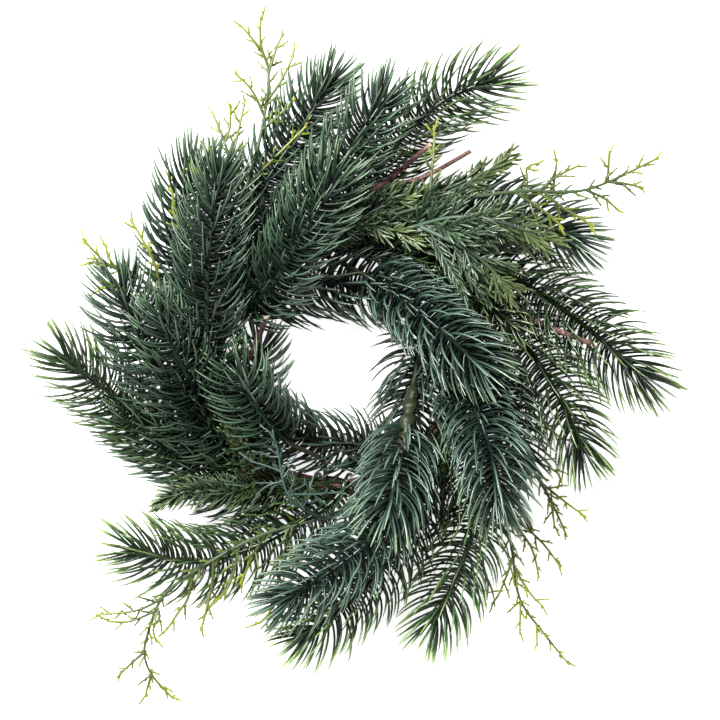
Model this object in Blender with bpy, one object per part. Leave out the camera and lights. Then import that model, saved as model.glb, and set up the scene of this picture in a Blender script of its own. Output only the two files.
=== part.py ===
"""Artificial fir wreath: a ring of twisted vine twigs with moulded sprays hooked over it.

Lengths are in millimetres until a mesh is made, where MM turns them to metres. The wreath lies
flat, seen from above: +X is to the right, +Y away and +Z up. Every spray sweeps clockwise.
"""
import math
import random

import bmesh
import bpy
import numpy as np
from mathutils import Vector

MM = 0.001

# Twig ring
RING_CENTRE = (-8.7, -3.8)
RING_RADIUS = 57.0
TWIG_RADIUS = 1.9
TWIG_END_RADII = (1.7, 1.6, 1.5)
TWIG_FORK_RADII = (1.3, 1.3, 1.2, 1.1)
TWIGS_ABREAST = 4
BUNDLE_RADIUS = 3.1
TWISTS = 3
RING_WAVE = 0.8
FLAT_DEPTH = 0.55
LOW_ANGLE = 110.0
RING_STEP = 10.0
CUTTER_DEPTH = 5.0
RESTING_TWIG = "vine_twig_1"
RING_HEIGHT = BUNDLE_RADIUS + TWIG_RADIUS - FLAT_DEPTH + RING_WAVE
HOLE_RADIUS = 24.5

# Wired stems
WIRE_RADIUS = 0.85
STEM_RADIUS = 1.5
STEM_TIP_RADIUS = 1.1
SPRIG_RADIUS = 1.1
SPRIG_TIP_RADIUS = 0.7
CLEARANCE = 0.35
HOOK_REACH = BUNDLE_RADIUS + TWIG_RADIUS + 1.5 * CLEARANCE + WIRE_RADIUS
HOOK_ADVANCE = 5.0
HOOK_TURNS = {"outward": (205.0, 80.0), "inward": (-25.0, 110.0)}
HOOK_POINTS = 6

# Foliage
NEEDLE_RADIUS = 0.75
NEEDLE_ROOT_RADIUS = 1.1
NEEDLE_BEND = 0.27
NEEDLE_OPENING = (64.0, 76.0)
NEEDLE_SWEEP = (30.0, 38.0)
NEEDLE_LEAN = 12.0
NEEDLE_SPREAD = (0.92, 1.06)
TIP_SHARE = 0.86
TIP_CLOSING = 0.66
SHOOT_OPENING = (38.0, 54.0)
SHOOT_LEAN = 15.0
SHOOT_SPREAD = (0.75, 1.2)
SHOOT_LENGTH = 8.0
SHOOT_SPACING = 7.0
FLAT_SPREAD = 30.0
LEAF_STEP = 4.4
SPRIG_STEP = 4.8
FORK_RADIUS = 0.8
FORK_SHOOT_LENGTH = 6.0
FORK_SHOOT_SPACING = 6.0
FORK_BARE_SHARE = 0.25
GOLDEN_ANGLE = 137.5
LOWEST_LEAF = 1.3
OWN_CLEARANCE = 0.2
LEAN_GROWTH = 0.35
TRIES = 12
SEED = 15

# Meshes
WELD_DISTANCE = 0.002
SEARCH_MARGIN = 4.0
ROUTE_SAMPLES = 200
ROUGHNESS = 0.55

COLOURS = {
    "bark": (0.085, 0.045, 0.034),
    "deep fir": (0.028, 0.062, 0.038),
    "blue fir": (0.045, 0.088, 0.082),
    "fresh fir": (0.050, 0.110, 0.040),
    "olive": (0.062, 0.092, 0.032),
    "cypress": (0.300, 0.400, 0.070),
    "teal cypress": (0.060, 0.135, 0.110),
}

# Each twig: its place in the bundle, the ring angles it runs between, its free end and any fork
TWIGS = {
    "vine_twig_1": (0, 177, -168, [(-55, -9, 11), (-47, 2, 19), (-40, 18, 29)], []),
    "vine_twig_2": (1, 100, -5, [(57, -14, 7), (66, -46, 6), (82, -81, 6)], []),
    "vine_twig_3": (1, -20, -245, [(-32, 59, 8), (-7, 68, 14), (10, 77, 20), (35, 97, 25)],
                    [(10, 77, 20), (31, 82, 22), (53, 94, 22)]),
    "vine_twig_4": (2, -50, -395, [(42, -47, 7), (41, -60, 7), (40, -76, 6)], []),
    "vine_twig_5": (3, 40, -305, [(34, 49, 8), (48, 42, 12), (76, 20, 22), (110, 5, 31)], []),
}

# Each fir spray: hook angle, side it leaves by, colour, needle length, how many, stem points
FIR_SPRAYS = {
    "fir_fringe_bottom": (297, "inward", "deep fir", 19, 20,
                          [(5, -41, 13), (-17, -39, 12), (-36, -29, 13)]),
    "fir_fringe_right": (14, "inward", "deep fir", 19, 18,
                         [(30, 4, 13), (28, -10, 13), (26, -34, 14)]),
    "fir_fringe_top": (151, "inward", "deep fir", 19, 24,
                       [(-46, 31, 15), (-13, 34, 14), (6, 33, 13), (22, 28, 13)]),
    "fir_fringe_left": (228, "inward", "deep fir", 19, 18,
                        [(-46, -32, 13), (-46, -14, 13), (-43, 4, 13)]),
    "fir_top_right": (90, "outward", "fresh fir", 25, 34,
                      [(2, 68, 13), (18, 96, 14), (40, 117, 14), (63, 127, 17)]),
    "fir_top_back": (142, "outward", "deep fir", 25, 32,
                     [(-55, 40, 13), (-45, 72, 14), (-29, 98, 15), (-11, 126, 17)]),
    "fir_upper_left_back": (178, "outward", "deep fir", 25, 28,
                            [(-72, 8, 15), (-82, 38, 16), (-80, 64, 15), (-73, 87, 16)]),
    "fir_left_outer": (236, "outward", "fresh fir", 25, 36,
                       [(-52, -52, 14), (-75, -41, 16), (-105, -22, 16), (-133, 0, 14)]),
    "fir_left_low": (249, "outward", "deep fir", 24, 28,
                     [(-34, -62, 12), (-59, -59, 12), (-84, -44, 13), (-105, -30, 13)]),
    "fir_bottom_left": (273, "outward", "fresh fir", 25, 34,
                        [(-16, -71, 13), (-48, -88, 13), (-75, -94, 14), (-102, -88, 14)]),
    "fir_bottom_right": (331, "outward", "fresh fir", 25, 32,
                         [(49, -42, 14), (56, -70, 17), (47, -100, 16), (36, -122, 14)]),
    "fir_right_lower": (37, "outward", "fresh fir", 25, 34,
                        [(47, 31, 13), (76, 8, 15), (94, -19, 15), (105, -43, 13)]),
    "fir_right_upper": (76, "outward", "deep fir", 25, 28,
                        [(16, 61, 13), (48, 67, 13), (76, 65, 13), (102, 54, 13)]),
    "fir_right_outer": (62, "outward", "fresh fir", 26, 36,
                        [(29, 53, 16), (66, 40, 23), (100, 18, 24), (132, -9, 20)]),
    "fir_bottom_outer": (313, "outward", "fresh fir", 25, 32,
                         [(30, -58, 16), (19, -88, 19), (-1, -111, 20), (-24, -128, 16)]),
    "fir_left_middle": (221, "outward", "deep fir", 25, 34,
                        [(-60, -35, 20), (-77, -21, 26), (-96, 4, 28), (-107, 32, 24)]),
    "fir_left_second": (213, "outward", "deep fir", 24, 26,
                        [(-67, -27, 18), (-74, -12, 34), (-82, 4, 38), (-88, 18, 36)]),
    "fir_right_back": (21, "outward", "deep fir", 22, 24,
                       [(51, 11, 17), (68, -18, 22), (77, -48, 20)]),
    "fir_right_front": (4, "outward", "blue fir", 26, 32,
                        [(51, -11, 19), (57, -28, 35), (62, -46, 38), (65, -66, 34)]),
    "fir_right_olive": (47, "outward", "olive", 15, 26,
                        [(40, 36, 20), (58, 26, 29), (74, 13, 31)]),
    "fir_top_front": (128, "outward", "deep fir", 25, 34,
                      [(-36, 54, 20), (-18, 72, 31), (-1, 95, 33), (14, 118, 31)]),
    "fir_bottom_front": (305, "outward", "blue fir", 26, 36,
                         [(22, -60, 20), (8, -82, 34), (-12, -98, 35), (-32, -111, 29)]),
    "fir_left_front": (199, "outward", "deep fir", 26, 40,
                       [(-68, -14, 20), (-67, 8, 36), (-66, 45, 40), (-61, 83, 38)]),
    "fir_inner_left": (265, "inward", "deep fir", 24, 28,
                       [(-15, -47, 18), (-30, -39, 26), (-43, -25, 36), (-53, -8, 38)]),
    "fir_upper_left": (166, "inward", "deep fir", 25, 38,
                       [(-51, 19, 21), (-36, 34, 37), (-23, 56, 45), (-9, 79, 46)]),
    "fir_inner_right": (104, "inward", "blue fir", 25, 34,
                        [(-8, 44, 18), (7, 36, 22), (21, 27, 30), (39, 12, 39), (57, -4, 40)]),
    "fir_lower_front": (29, "inward", "blue fir", 26, 38,
                        [(33, 12, 18), (27, -12, 28), (24, -30, 38), (19, -54, 46), (15, -68, 46)]),
}
BARE_POINTS = {"fir_inner_right": 1, "fir_lower_front": 2}

# Each open cypress sprig: hook angle, colour, stem points, then its forks
CYPRESS_SPRIGS = {
    "cypress_top": (135, "cypress",
                    [(-51, 47, 17), (-49, 76, 24), (-42, 106, 20), (-40, 134, 16), (-52, 152, 14)],
                    [[(-40, 134, 16), (-42, 153, 17)], [(-41, 118, 18), (-28, 136, 16)]]),
    "cypress_top_left": (158, "cypress",
                         [(-64, 32, 19), (-61, 60, 24), (-57, 88, 20), (-65, 112, 16)],
                         [[(-57, 88, 20), (-50, 118, 18)]]),
    "cypress_left": (206, "cypress",
                     [(-72, -18, 11), (-86, 14, 12), (-96, 34, 20), (-112, 42, 27), (-124, 54, 27)],
                     [[(-89, 22, 14), (-89, 34, 24), (-98, 56, 29)]]),
    "cypress_right": (83, "cypress",
                      [(9, 61, 20), (31, 68, 36), (73, 75, 34), (105, 76, 28), (139, 91, 22)],
                      [[(105, 76, 28), (121, 67, 26)], [(73, 75, 34), (98, 88, 32)]]),
    "cypress_lower_right": (347, "cypress",
                            [(55, -24, 12), (71, -37, 12), (88, -62, 9), (98, -83, 8)],
                            [[(76, -45, 11), (99, -50, 9)]]),
    "cypress_bottom_right": (339, "cypress",
                             [(54, -35, 10), (66, -61, 8), (72, -86, 8), (76, -111, 8),
                              (87, -127, 8), (99, -142, 8)],
                             [[(74, -98, 8), (93, -104, 8)]]),
    "cypress_bottom_left": (281, "cypress",
                            [(-10, -72, 19), (-42, -81, 27), (-67, -94, 27), (-89, -111, 22),
                             (-97, -134, 17), (-83, -157, 14)],
                            [[(-89, -111, 22), (-118, -122, 18)], [(-67, -94, 27), (-70, -126, 24)]]),
    "cypress_front": (289, "teal cypress",
                      [(2, -66, 18), (-14, -73, 27), (-30, -62, 42), (-35, -40, 44), (-39, -33, 44)],
                      [[(-30, -62, 42), (-20, -46, 44)]]),
}

# Each dense olive spray: hook angle, leaf length, how many, whether it lies flat, stem points
OLIVE_SPRAYS = {
    "juniper_left": (257, 10, 40, False, [(-24, -62, 15), (-55, -61, 22), (-78, -62, 21), (-89, -67, 18)]),
    "fern_cypress_right": (69, 15, 34, True,
                           [(21, 57, 24), (44, 63, 40), (66, 61, 42), (85, 53, 38)]),
    "fern_cypress_top": (97, 14, 28, True,
                         [(-8, 62, 19), (20, 67, 26), (45, 76, 27), (68, 89, 24)]),
    "curly_cypress_top": (121, 11, 24, False, [(-20, 54, 20), (5, 60, 28), (27, 54, 31)]),
    "fern_cypress_left": (243, 9, 22, True, [(-40, -55, 22), (-48, -47, 33), (-57, -33, 37)]),
}


def ring_height(angle):
    """Height of the bundle's middle; the ring sags at three places."""
    return RING_HEIGHT - RING_WAVE * math.cos(math.radians(TWISTS * (angle - LOW_ANGLE)))


def ring_point(angle, around, reach):
    """Point beside the bundle: `around` is 0 on its outer side and 90 on top."""
    turn = math.radians(angle)
    lean = math.radians(around)
    radius = RING_RADIUS + reach * math.cos(lean)
    return np.array([
        RING_CENTRE[0] + radius * math.cos(turn),
        RING_CENTRE[1] + radius * math.sin(turn),
        ring_height(angle) + reach * math.sin(lean),
    ])


def smooth_route(points, count):
    """Evenly spaced points on a Catmull-Rom curve through the given ones."""
    knots = np.array([points[0], *points, points[-1]], dtype=float)
    fine = []
    for a, b, c, d in zip(knots, knots[1:], knots[2:], knots[3:]):
        for t in np.linspace(0, 1, 12, endpoint=False):
            fine.append(0.5 * (2 * b + (c - a) * t + (2 * a - 5 * b + 4 * c - d) * t ** 2
                               + (3 * b - a - 3 * c + d) * t ** 3))
    fine.append(knots[-1])
    fine = np.array(fine)
    walked = np.concatenate([[0], np.cumsum(np.linalg.norm(np.diff(fine, axis=0), axis=1))])
    stops = np.linspace(0, walked[-1], count)
    return np.column_stack([np.interp(stops, walked, fine[:, axis]) for axis in range(3)])


def fork_length(points):
    return float(np.sum(np.linalg.norm(np.diff(np.array(points, dtype=float), axis=0), axis=1)))


def hook_points(angle, side):
    """Tail of a stem, bent over the bundle so that the spray hangs on the ring."""
    first, last = HOOK_TURNS[side]
    points = []
    for step in range(HOOK_POINTS):
        share = step / (HOOK_POINTS - 1)
        around = first + (last - first) * share
        points.append(ring_point(angle + HOOK_ADVANCE * (1 - share), around, HOOK_REACH))
    return points


class Clearings:
    """Rods along every piece laid so far, to keep each new one clear of the others."""

    def __init__(self):
        self.rods = np.empty((0, 7))
        self.owners = np.empty(0, dtype=object)
        self.kinds = np.empty(0, dtype=object)

    def add(self, owner, kind, points, radii):
        points = np.asarray(points)
        thick = np.maximum(radii[:-1], radii[1:])
        rods = np.column_stack([points[:-1], points[1:], thick])
        self.rods = np.vstack([self.rods, rods])
        self.owners = np.append(self.owners, [owner] * len(rods))
        self.kinds = np.append(self.kinds, [kind] * len(rods))

    def gap(self, owner, points, radius, kinds=None):
        """Smallest gap to the other pieces, or to its own piece's rods of the given kinds."""
        if kinds:
            wanted = (self.owners == owner) & np.isin(self.kinds, kinds)
        else:
            wanted = self.owners != owner
        low = np.min(points, axis=0) - SEARCH_MARGIN
        high = np.max(points, axis=0) + SEARCH_MARGIN
        wanted &= np.all(np.minimum(self.rods[:, :3], self.rods[:, 3:6]) < high, axis=1)
        wanted &= np.all(np.maximum(self.rods[:, :3], self.rods[:, 3:6]) > low, axis=1)
        near = self.rods[wanted]
        if not len(near):
            return math.inf
        return min(float(np.min(rod_distance(start, end, near[:, :3], near[:, 3:6]) - near[:, 6]))
                   for start, end in zip(points, points[1:])) - radius


def rod_distance(start, end, starts, ends):
    """Distance from one straight rod to each of many."""
    u = end - start
    v = ends - starts
    w = start - starts
    a = float(u @ u)
    b = v @ u
    c = np.einsum("ij,ij->i", v, v)
    d = w @ u
    e = np.einsum("ij,ij->i", v, w)
    flat = np.maximum(a * c - b * b, 1e-9)
    s = np.clip((b * e - c * d) / flat, 0, 1)
    t = np.clip((b * s + e) / c, 0, 1)
    s = np.clip((b * t - d) / a, 0, 1)
    t = np.clip((b * s + e) / c, 0, 1)
    return np.linalg.norm(w + s[:, None] * u - t[:, None] * v, axis=1)


def material(name, colour):
    finish = bpy.data.materials.new(name)
    finish.use_nodes = True
    shader = finish.node_tree.nodes["Principled BSDF"]
    shader.inputs["Base Color"].default_value = (*colour, 1)
    shader.inputs["Roughness"].default_value = ROUGHNESS
    shader.inputs["Metallic"].default_value = 0
    return finish


def swept_mesh(strands, profile=None):
    """Tapered rods as one curve, made a mesh with welded caps and pointed tips."""
    curve = bpy.data.curves.new("strands", "CURVE")
    curve.dimensions = "3D"
    curve.use_fill_caps = True
    if profile:
        curve.bevel_mode = "OBJECT"
        curve.bevel_object = profile
    else:
        curve.bevel_depth = MM
        curve.bevel_resolution = 1
    for points, radii in strands:
        spline = curve.splines.new("POLY")
        spline.points.add(len(points) - 1)
        for knot, place, radius in zip(spline.points, points, radii):
            knot.co = (*(np.array(place) * MM), 1)
            knot.radius = radius
    holder = bpy.data.objects.new("strands", curve)
    bpy.context.scene.collection.objects.link(holder)
    depsgraph = bpy.context.evaluated_depsgraph_get()
    mesh = bpy.data.meshes.new_from_object(holder.evaluated_get(depsgraph))
    bpy.data.objects.remove(holder)
    bpy.data.curves.remove(curve)
    tidy = bmesh.new()
    tidy.from_mesh(mesh)
    bmesh.ops.remove_doubles(tidy, verts=tidy.verts, dist=WELD_DISTANCE * MM)
    bmesh.ops.triangulate(tidy, faces=tidy.faces)
    bmesh.ops.recalc_face_normals(tidy, faces=tidy.faces)
    tidy.to_mesh(mesh)
    tidy.free()
    return mesh


def round_profile(sides):
    """Small closed outline, 1 mm in radius, that a rod is swept with."""
    curve = bpy.data.curves.new("profile", "CURVE")
    curve.dimensions = "2D"
    spline = curve.splines.new("POLY")
    spline.points.add(sides - 1)
    spline.use_cyclic_u = True
    for index, knot in enumerate(spline.points):
        turn = 2 * math.pi * index / sides
        knot.co = (MM * math.cos(turn), MM * math.sin(turn), 0, 1)
    holder = bpy.data.objects.new("profile", curve)
    bpy.context.scene.collection.objects.link(holder)
    return holder


def loose_pieces(mesh):
    """One object for each loose rod of a mesh."""
    holder = bpy.data.objects.new("bit", mesh)
    bpy.context.scene.collection.objects.link(holder)
    bpy.ops.object.select_all(action="DESELECT")
    bpy.context.view_layer.objects.active = holder
    holder.select_set(True)
    bpy.ops.mesh.separate(type="LOOSE")
    return list(bpy.context.selected_objects)


def fuse(body, bits):
    """Join the rods to the body that they are rooted in, by one union."""
    together = bpy.data.collections.new("bits")
    bpy.context.scene.collection.children.link(together)
    for bit in bits:
        bpy.context.scene.collection.objects.unlink(bit)
        together.objects.link(bit)
    union = body.modifiers.new("union", "BOOLEAN")
    union.operation = "UNION"
    union.operand_type = "COLLECTION"
    union.collection = together
    union.solver = "EXACT"
    depsgraph = bpy.context.evaluated_depsgraph_get()
    mesh = bpy.data.meshes.new_from_object(body.evaluated_get(depsgraph))
    body.modifiers.clear()
    body.data = mesh
    for bit in bits:
        bpy.data.objects.remove(bit)
    bpy.data.collections.remove(together)
    keep_main_body(mesh)


def keep_main_body(mesh):
    """Drop any loose scrap that a union leaves, and merge its doubled corners."""
    tidy = bmesh.new()
    tidy.from_mesh(mesh)
    bmesh.ops.remove_doubles(tidy, verts=tidy.verts, dist=WELD_DISTANCE * MM)
    bmesh.ops.dissolve_degenerate(tidy, edges=tidy.edges, dist=WELD_DISTANCE * MM)
    bmesh.ops.triangulate(tidy, faces=tidy.faces)
    left = set(tidy.verts)
    bodies = []
    while left:
        edge_of_body = [left.pop()]
        body = set(edge_of_body)
        while edge_of_body:
            vert = edge_of_body.pop()
            for edge in vert.link_edges:
                other = edge.other_vert(vert)
                if other in left:
                    left.discard(other)
                    body.add(other)
                    edge_of_body.append(other)
        bodies.append(body)
    largest = max(bodies, key=len)
    scraps = [vert for vert in tidy.verts if vert not in largest]
    bmesh.ops.delete(tidy, geom=scraps, context="VERTS")
    tidy.to_mesh(mesh)
    tidy.free()


def place(name, mesh, finish, group):
    piece = bpy.data.objects.new(name, mesh)
    mesh.name = name
    mesh.materials.clear()
    mesh.materials.append(finish)
    group.objects.link(piece)
    return piece


def twig_route(place_in_bundle, start, end, free_end):
    """A twig that winds round the bundle clockwise and then springs free."""
    phase = -90 - TWISTS * LOW_ANGLE + 360 * place_in_bundle / TWIGS_ABREAST
    count = round((start - end) / RING_STEP) + 1
    wound = [ring_point(angle, phase + TWISTS * angle, BUNDLE_RADIUS)
             for angle in np.linspace(start, end, count)]
    freed = smooth_route([wound[-1], *free_end], 2 * len(free_end) + 1)
    return np.array([*wound, *freed[1:]])


def in_hole(points):
    offset = points[:, :2] - np.array(RING_CENTRE)
    return np.min(np.linalg.norm(offset, axis=1)) < HOLE_RADIUS


def leaf_seats(core, route, first):
    """Faces of a stem that can carry a leaf: each with its share, its place and three axes."""
    seats = []
    starts, ends = route[:-1], route[1:]
    runs = ends - starts
    for face in core.faces:
        centre = np.array(face.calc_center_median()) / MM
        along_run = np.einsum("ij,ij->i", centre - starts, runs)
        along_run = np.clip(along_run / np.einsum("ij,ij->i", runs, runs), 0, 1)
        feet = starts + along_run[:, None] * runs
        index = int(np.argmin(np.linalg.norm(centre - feet, axis=1)))
        share = (index + along_run[index]) / len(runs)
        if share < first:
            continue
        along = runs[index] / np.linalg.norm(runs[index])
        outward = centre - feet[index]
        outward -= along * (outward @ along)
        outward /= np.linalg.norm(outward)
        side = np.cross(along, (0, 0, 1))
        side /= np.linalg.norm(side)
        around = math.degrees(math.atan2(outward @ np.cross(side, along), outward @ side))
        seats.append((face, share, around, centre, along, outward))
    return seats


def seat_for(seats, taken, share, around, length):
    """The free seat nearest to a place along the stem and to a direction round it."""
    best, smallest = None, math.inf
    for seat in seats:
        turn = abs((seat[2] - around + 180) % 360 - 180)
        cost = abs(seat[1] - share) * length / LEAF_STEP + turn / 60
        if cost < smallest and seat[0] not in taken:
            best, smallest = seat, cost
    return best


def take(seat, taken):
    """Mark a face as used, with the faces beside it, which a second leaf would crowd."""
    taken.add(seat[0])
    for edge in seat[0].edges:
        taken.update(edge.link_faces)


def needle_line(seat, length, opening, sweep, lean):
    """Root, bend and tip of a needle that opens from the stem and then sweeps forward."""
    centre, along, outward = seat[3:]
    tilt = math.radians(lean)
    outward = math.cos(tilt) * outward + math.sin(tilt) * np.cross(along, outward)
    points = [centre]
    for part_of_length, angle in ((NEEDLE_BEND, opening), (1 - NEEDLE_BEND, opening - sweep)):
        turn = math.radians(angle)
        heading = math.cos(turn) * along + math.sin(turn) * outward
        points.append(points[-1] + part_of_length * length * heading)
    points = np.array(points)
    points[1:, 2] = np.maximum(points[1:, 2], LOWEST_LEAF)
    return points


def is_clear(name, points, clearings):
    """Whether a needle keeps clear of every other piece, and of its own spray's needles."""
    root, blade = points[:2], points[1:]
    if in_hole(points):
        return False
    if clearings.gap(name, root, NEEDLE_ROOT_RADIUS) < CLEARANCE:
        return False
    if clearings.gap(name, blade, NEEDLE_RADIUS) < CLEARANCE:
        return False
    if clearings.gap(name, blade, NEEDLE_RADIUS, ["stem", "root", "blade"]) < OWN_CLEARANCE:
        return False
    return clearings.gap(name, root, NEEDLE_RADIUS, ["blade"]) >= OWN_CLEARANCE


def raise_needle(core, face, points):
    """Pull a needle out of one face of its stem: three walls to the bend, then a point."""
    centre, bend, tip = (Vector(point * MM) for point in points)
    axis = (tip - centre).normalized()
    raised = bmesh.ops.extrude_discrete_faces(core, faces=[face])["faces"][0]
    for vert in raised.verts:
        spoke = vert.co - centre
        spoke -= spoke.dot(axis) * axis
        vert.co = bend + spoke.normalized() * NEEDLE_RADIUS * MM
    apex = bmesh.ops.poke(core, faces=[raised])["verts"][0]
    apex.co = tip


def grow_needles(name, body, route, first, length, count, clearings, draw, flat=False):
    """Needles all round a stem, from the share `first` to its tip."""
    core = bmesh.new()
    core.from_mesh(body.data)
    seats = leaf_seats(core, route, first)
    span = np.sum(np.linalg.norm(np.diff(route, axis=0), axis=1))
    taken = set()
    needles = []
    turn = draw.uniform(0, 360)
    for index in range(count):
        share = first + (1 - first) * (index + 0.5) / count
        around = turn + index * GOLDEN_ANGLE
        if flat:
            around = 180 * (index % 2) + draw.uniform(-FLAT_SPREAD, FLAT_SPREAD)
        seat = seat_for(seats, taken, share, around, span)
        if seat is None:
            continue
        near_tip = max(0.0, (seat[1] - TIP_SHARE) / (1 - TIP_SHARE))
        for attempt in range(TRIES):
            lean = draw.uniform(-NEEDLE_LEAN, NEEDLE_LEAN) * (1 + LEAN_GROWTH * attempt)
            opening = draw.uniform(*NEEDLE_OPENING) * (1 - TIP_CLOSING * near_tip)
            sweep = draw.uniform(*NEEDLE_SWEEP) * (1 - TIP_CLOSING * near_tip)
            size = length * draw.uniform(*NEEDLE_SPREAD)
            points = needle_line(seat, size, opening, sweep, lean)
            if is_clear(name, points, clearings):
                clearings.add(name, "root", points[:2], [NEEDLE_ROOT_RADIUS] * 2)
                clearings.add(name, "blade", points[1:], [NEEDLE_RADIUS] * 2)
                needles.append((seat[0], points))
                take(seat, taken)
                break
    for face, points in needles:
        raise_needle(core, face, points)
    finish_mesh(core, body.data)


def grow_shoots(name, body, route, first, spacing, length, clearings, draw):
    """Short pointed side shoots, left and right by turns, along an open cypress stem."""
    core = bmesh.new()
    core.from_mesh(body.data)
    seats = leaf_seats(core, route, first)
    span = np.sum(np.linalg.norm(np.diff(route, axis=0), axis=1))
    count = max(2, round(span * (1 - first) / spacing))
    taken = set()
    shoots = []
    for index in range(count):
        share = first + (1 - first) * (index + 0.7) / count
        around = 180 * (index % 2) + draw.uniform(-FLAT_SPREAD, FLAT_SPREAD)
        seat = seat_for(seats, taken, share, around, span)
        if seat is None:
            continue
        for attempt in range(TRIES):
            lean = draw.uniform(-SHOOT_LEAN, SHOOT_LEAN) * (1 + LEAN_GROWTH * attempt)
            size = length * draw.uniform(*SHOOT_SPREAD)
            points = needle_line(seat, size, draw.uniform(*SHOOT_OPENING), 0, lean)
            if is_clear(name, points, clearings):
                clearings.add(name, "root", points[:2], [NEEDLE_RADIUS] * 2)
                clearings.add(name, "blade", points[1:], [NEEDLE_RADIUS] * 2)
                shoots.append((seat[0], points[-1]))
                take(seat, taken)
                break
    for face, tip in shoots:
        apex = bmesh.ops.poke(core, faces=[face])["verts"][0]
        apex.co = Vector(tip * MM)
    finish_mesh(core, body.data)


def finish_mesh(core, mesh):
    bmesh.ops.triangulate(core, faces=core.faces)
    core.to_mesh(mesh)
    core.free()


def stem_with_hook(angle, side, points, bare, radius, tip_radius, step):
    """Whole stem, tail first: its points, its radii and the share where the foliage starts."""
    hook = hook_points(angle, side)
    free = smooth_route([hook[-1], *points], ROUTE_SAMPLES)
    walked = np.concatenate([[0], np.cumsum(np.linalg.norm(np.diff(free, axis=0), axis=1))])
    leafy_from = walked[int(np.argmin(np.linalg.norm(free - np.array(points[bare]), axis=1)))]
    bare_count = max(2, round(leafy_from / (2 * step)))
    leafy_count = round((walked[-1] - leafy_from) / step)
    stops = [*np.linspace(0, leafy_from, bare_count, endpoint=False)[1:],
             *np.linspace(leafy_from, walked[-1], leafy_count + 1)]
    free = np.column_stack([np.interp(stops, walked, free[:, axis]) for axis in range(3)])
    route = np.array([*hook, *free])
    radii = [WIRE_RADIUS] * HOOK_POINTS
    radii += list(np.linspace(WIRE_RADIUS, radius, bare_count + 1)[1:-1])
    radii += list(np.linspace(radius, tip_radius, leafy_count + 1))
    first = (len(route) - 1 - leafy_count) / (len(route) - 1)
    return route, radii, first


def cut_resting_flats(twig):
    """Trim the ring's lowest twig on the table plane, which leaves three small flats."""
    cutters = bpy.data.collections.new("cutters")
    bpy.context.scene.collection.children.link(cutters)
    mesh = bpy.data.meshes.new("table_plane")
    block = bmesh.new()
    bmesh.ops.create_cube(block, size=1)
    width = 4 * RING_RADIUS * MM
    bmesh.ops.scale(block, vec=(width, width, CUTTER_DEPTH * MM), verts=block.verts)
    bmesh.ops.translate(block, vec=(0, 0, -CUTTER_DEPTH * MM / 2), verts=block.verts)
    block.to_mesh(mesh)
    block.free()
    cutter = bpy.data.objects.new("table_plane", mesh)
    cutter.hide_render = True
    cutter.display_type = "WIRE"
    cutters.objects.link(cutter)
    trim = twig.modifiers.new("trim", "BOOLEAN")
    trim.operation = "DIFFERENCE"
    trim.solver = "EXACT"
    trim.object = cutter


def lay_twigs(clearings):
    """Route, radii and any fork of every twig, entered in the clearings."""
    twigs = {}
    for name, (slot, start, end, free_end, fork) in TWIGS.items():
        route = twig_route(slot, start, end, free_end)
        radii = [TWIG_RADIUS] * (len(route) - len(TWIG_END_RADII)) + list(TWIG_END_RADII)
        clearings.add(name, "stem", route, radii)
        branch = None
        if fork:
            branch = smooth_route(fork, len(TWIG_FORK_RADII))
            clearings.add(name, "stem", branch, TWIG_FORK_RADII)
        twigs[name] = (route, radii, branch)
    return twigs


def lay_stems(clearings):
    """Route, radii and leafy part of every spray's stem, and the forks of every sprig."""
    stems = {}
    limbs = {}
    for name, (angle, side, colour, length, count, points) in FIR_SPRAYS.items():
        stems[name] = stem_with_hook(angle, side, points, BARE_POINTS.get(name, 0),
                                     STEM_RADIUS, STEM_TIP_RADIUS, LEAF_STEP)
    for name, (angle, length, count, flat, points) in OLIVE_SPRAYS.items():
        stems[name] = stem_with_hook(angle, "outward", points, 0,
                                     STEM_RADIUS, STEM_TIP_RADIUS, LEAF_STEP)
    for name, (angle, colour, points, forks) in CYPRESS_SPRIGS.items():
        stems[name] = stem_with_hook(angle, "outward", points, 1,
                                     SPRIG_RADIUS, SPRIG_TIP_RADIUS, SPRIG_STEP)
        limbs[name] = [smooth_route(fork, max(3, round(fork_length(fork) / SPRIG_STEP) + 1))
                       for fork in forks]
        for limb in limbs[name]:
            clearings.add(name, "stem", limb, [FORK_RADIUS] * len(limb))
    for name, (route, radii, first) in stems.items():
        clearings.add(name, "stem", route, radii)
    return stems, limbs


def build_sprig(name, stem, limbs, finish, profile, group, clearings, draw):
    """An open cypress sprig: its stem and its forks, each with shoots, fused into one."""
    route, radii, first = stem
    body = place(name, swept_mesh([(route, radii)], profile), finish, group)
    grow_shoots(name, body, route, first, SHOOT_SPACING, SHOOT_LENGTH, clearings, draw)
    branches = []
    for limb in limbs:
        limb_radii = np.linspace(FORK_RADIUS, SPRIG_TIP_RADIUS, len(limb))
        branch = place(name + "_branch", swept_mesh([(limb, limb_radii)], profile), finish,
                       bpy.context.scene.collection)
        grow_shoots(name, branch, limb, FORK_BARE_SHARE, FORK_SHOOT_SPACING, FORK_SHOOT_LENGTH,
                    clearings, draw)
        branches.append(branch)
    fuse(body, branches)


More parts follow.
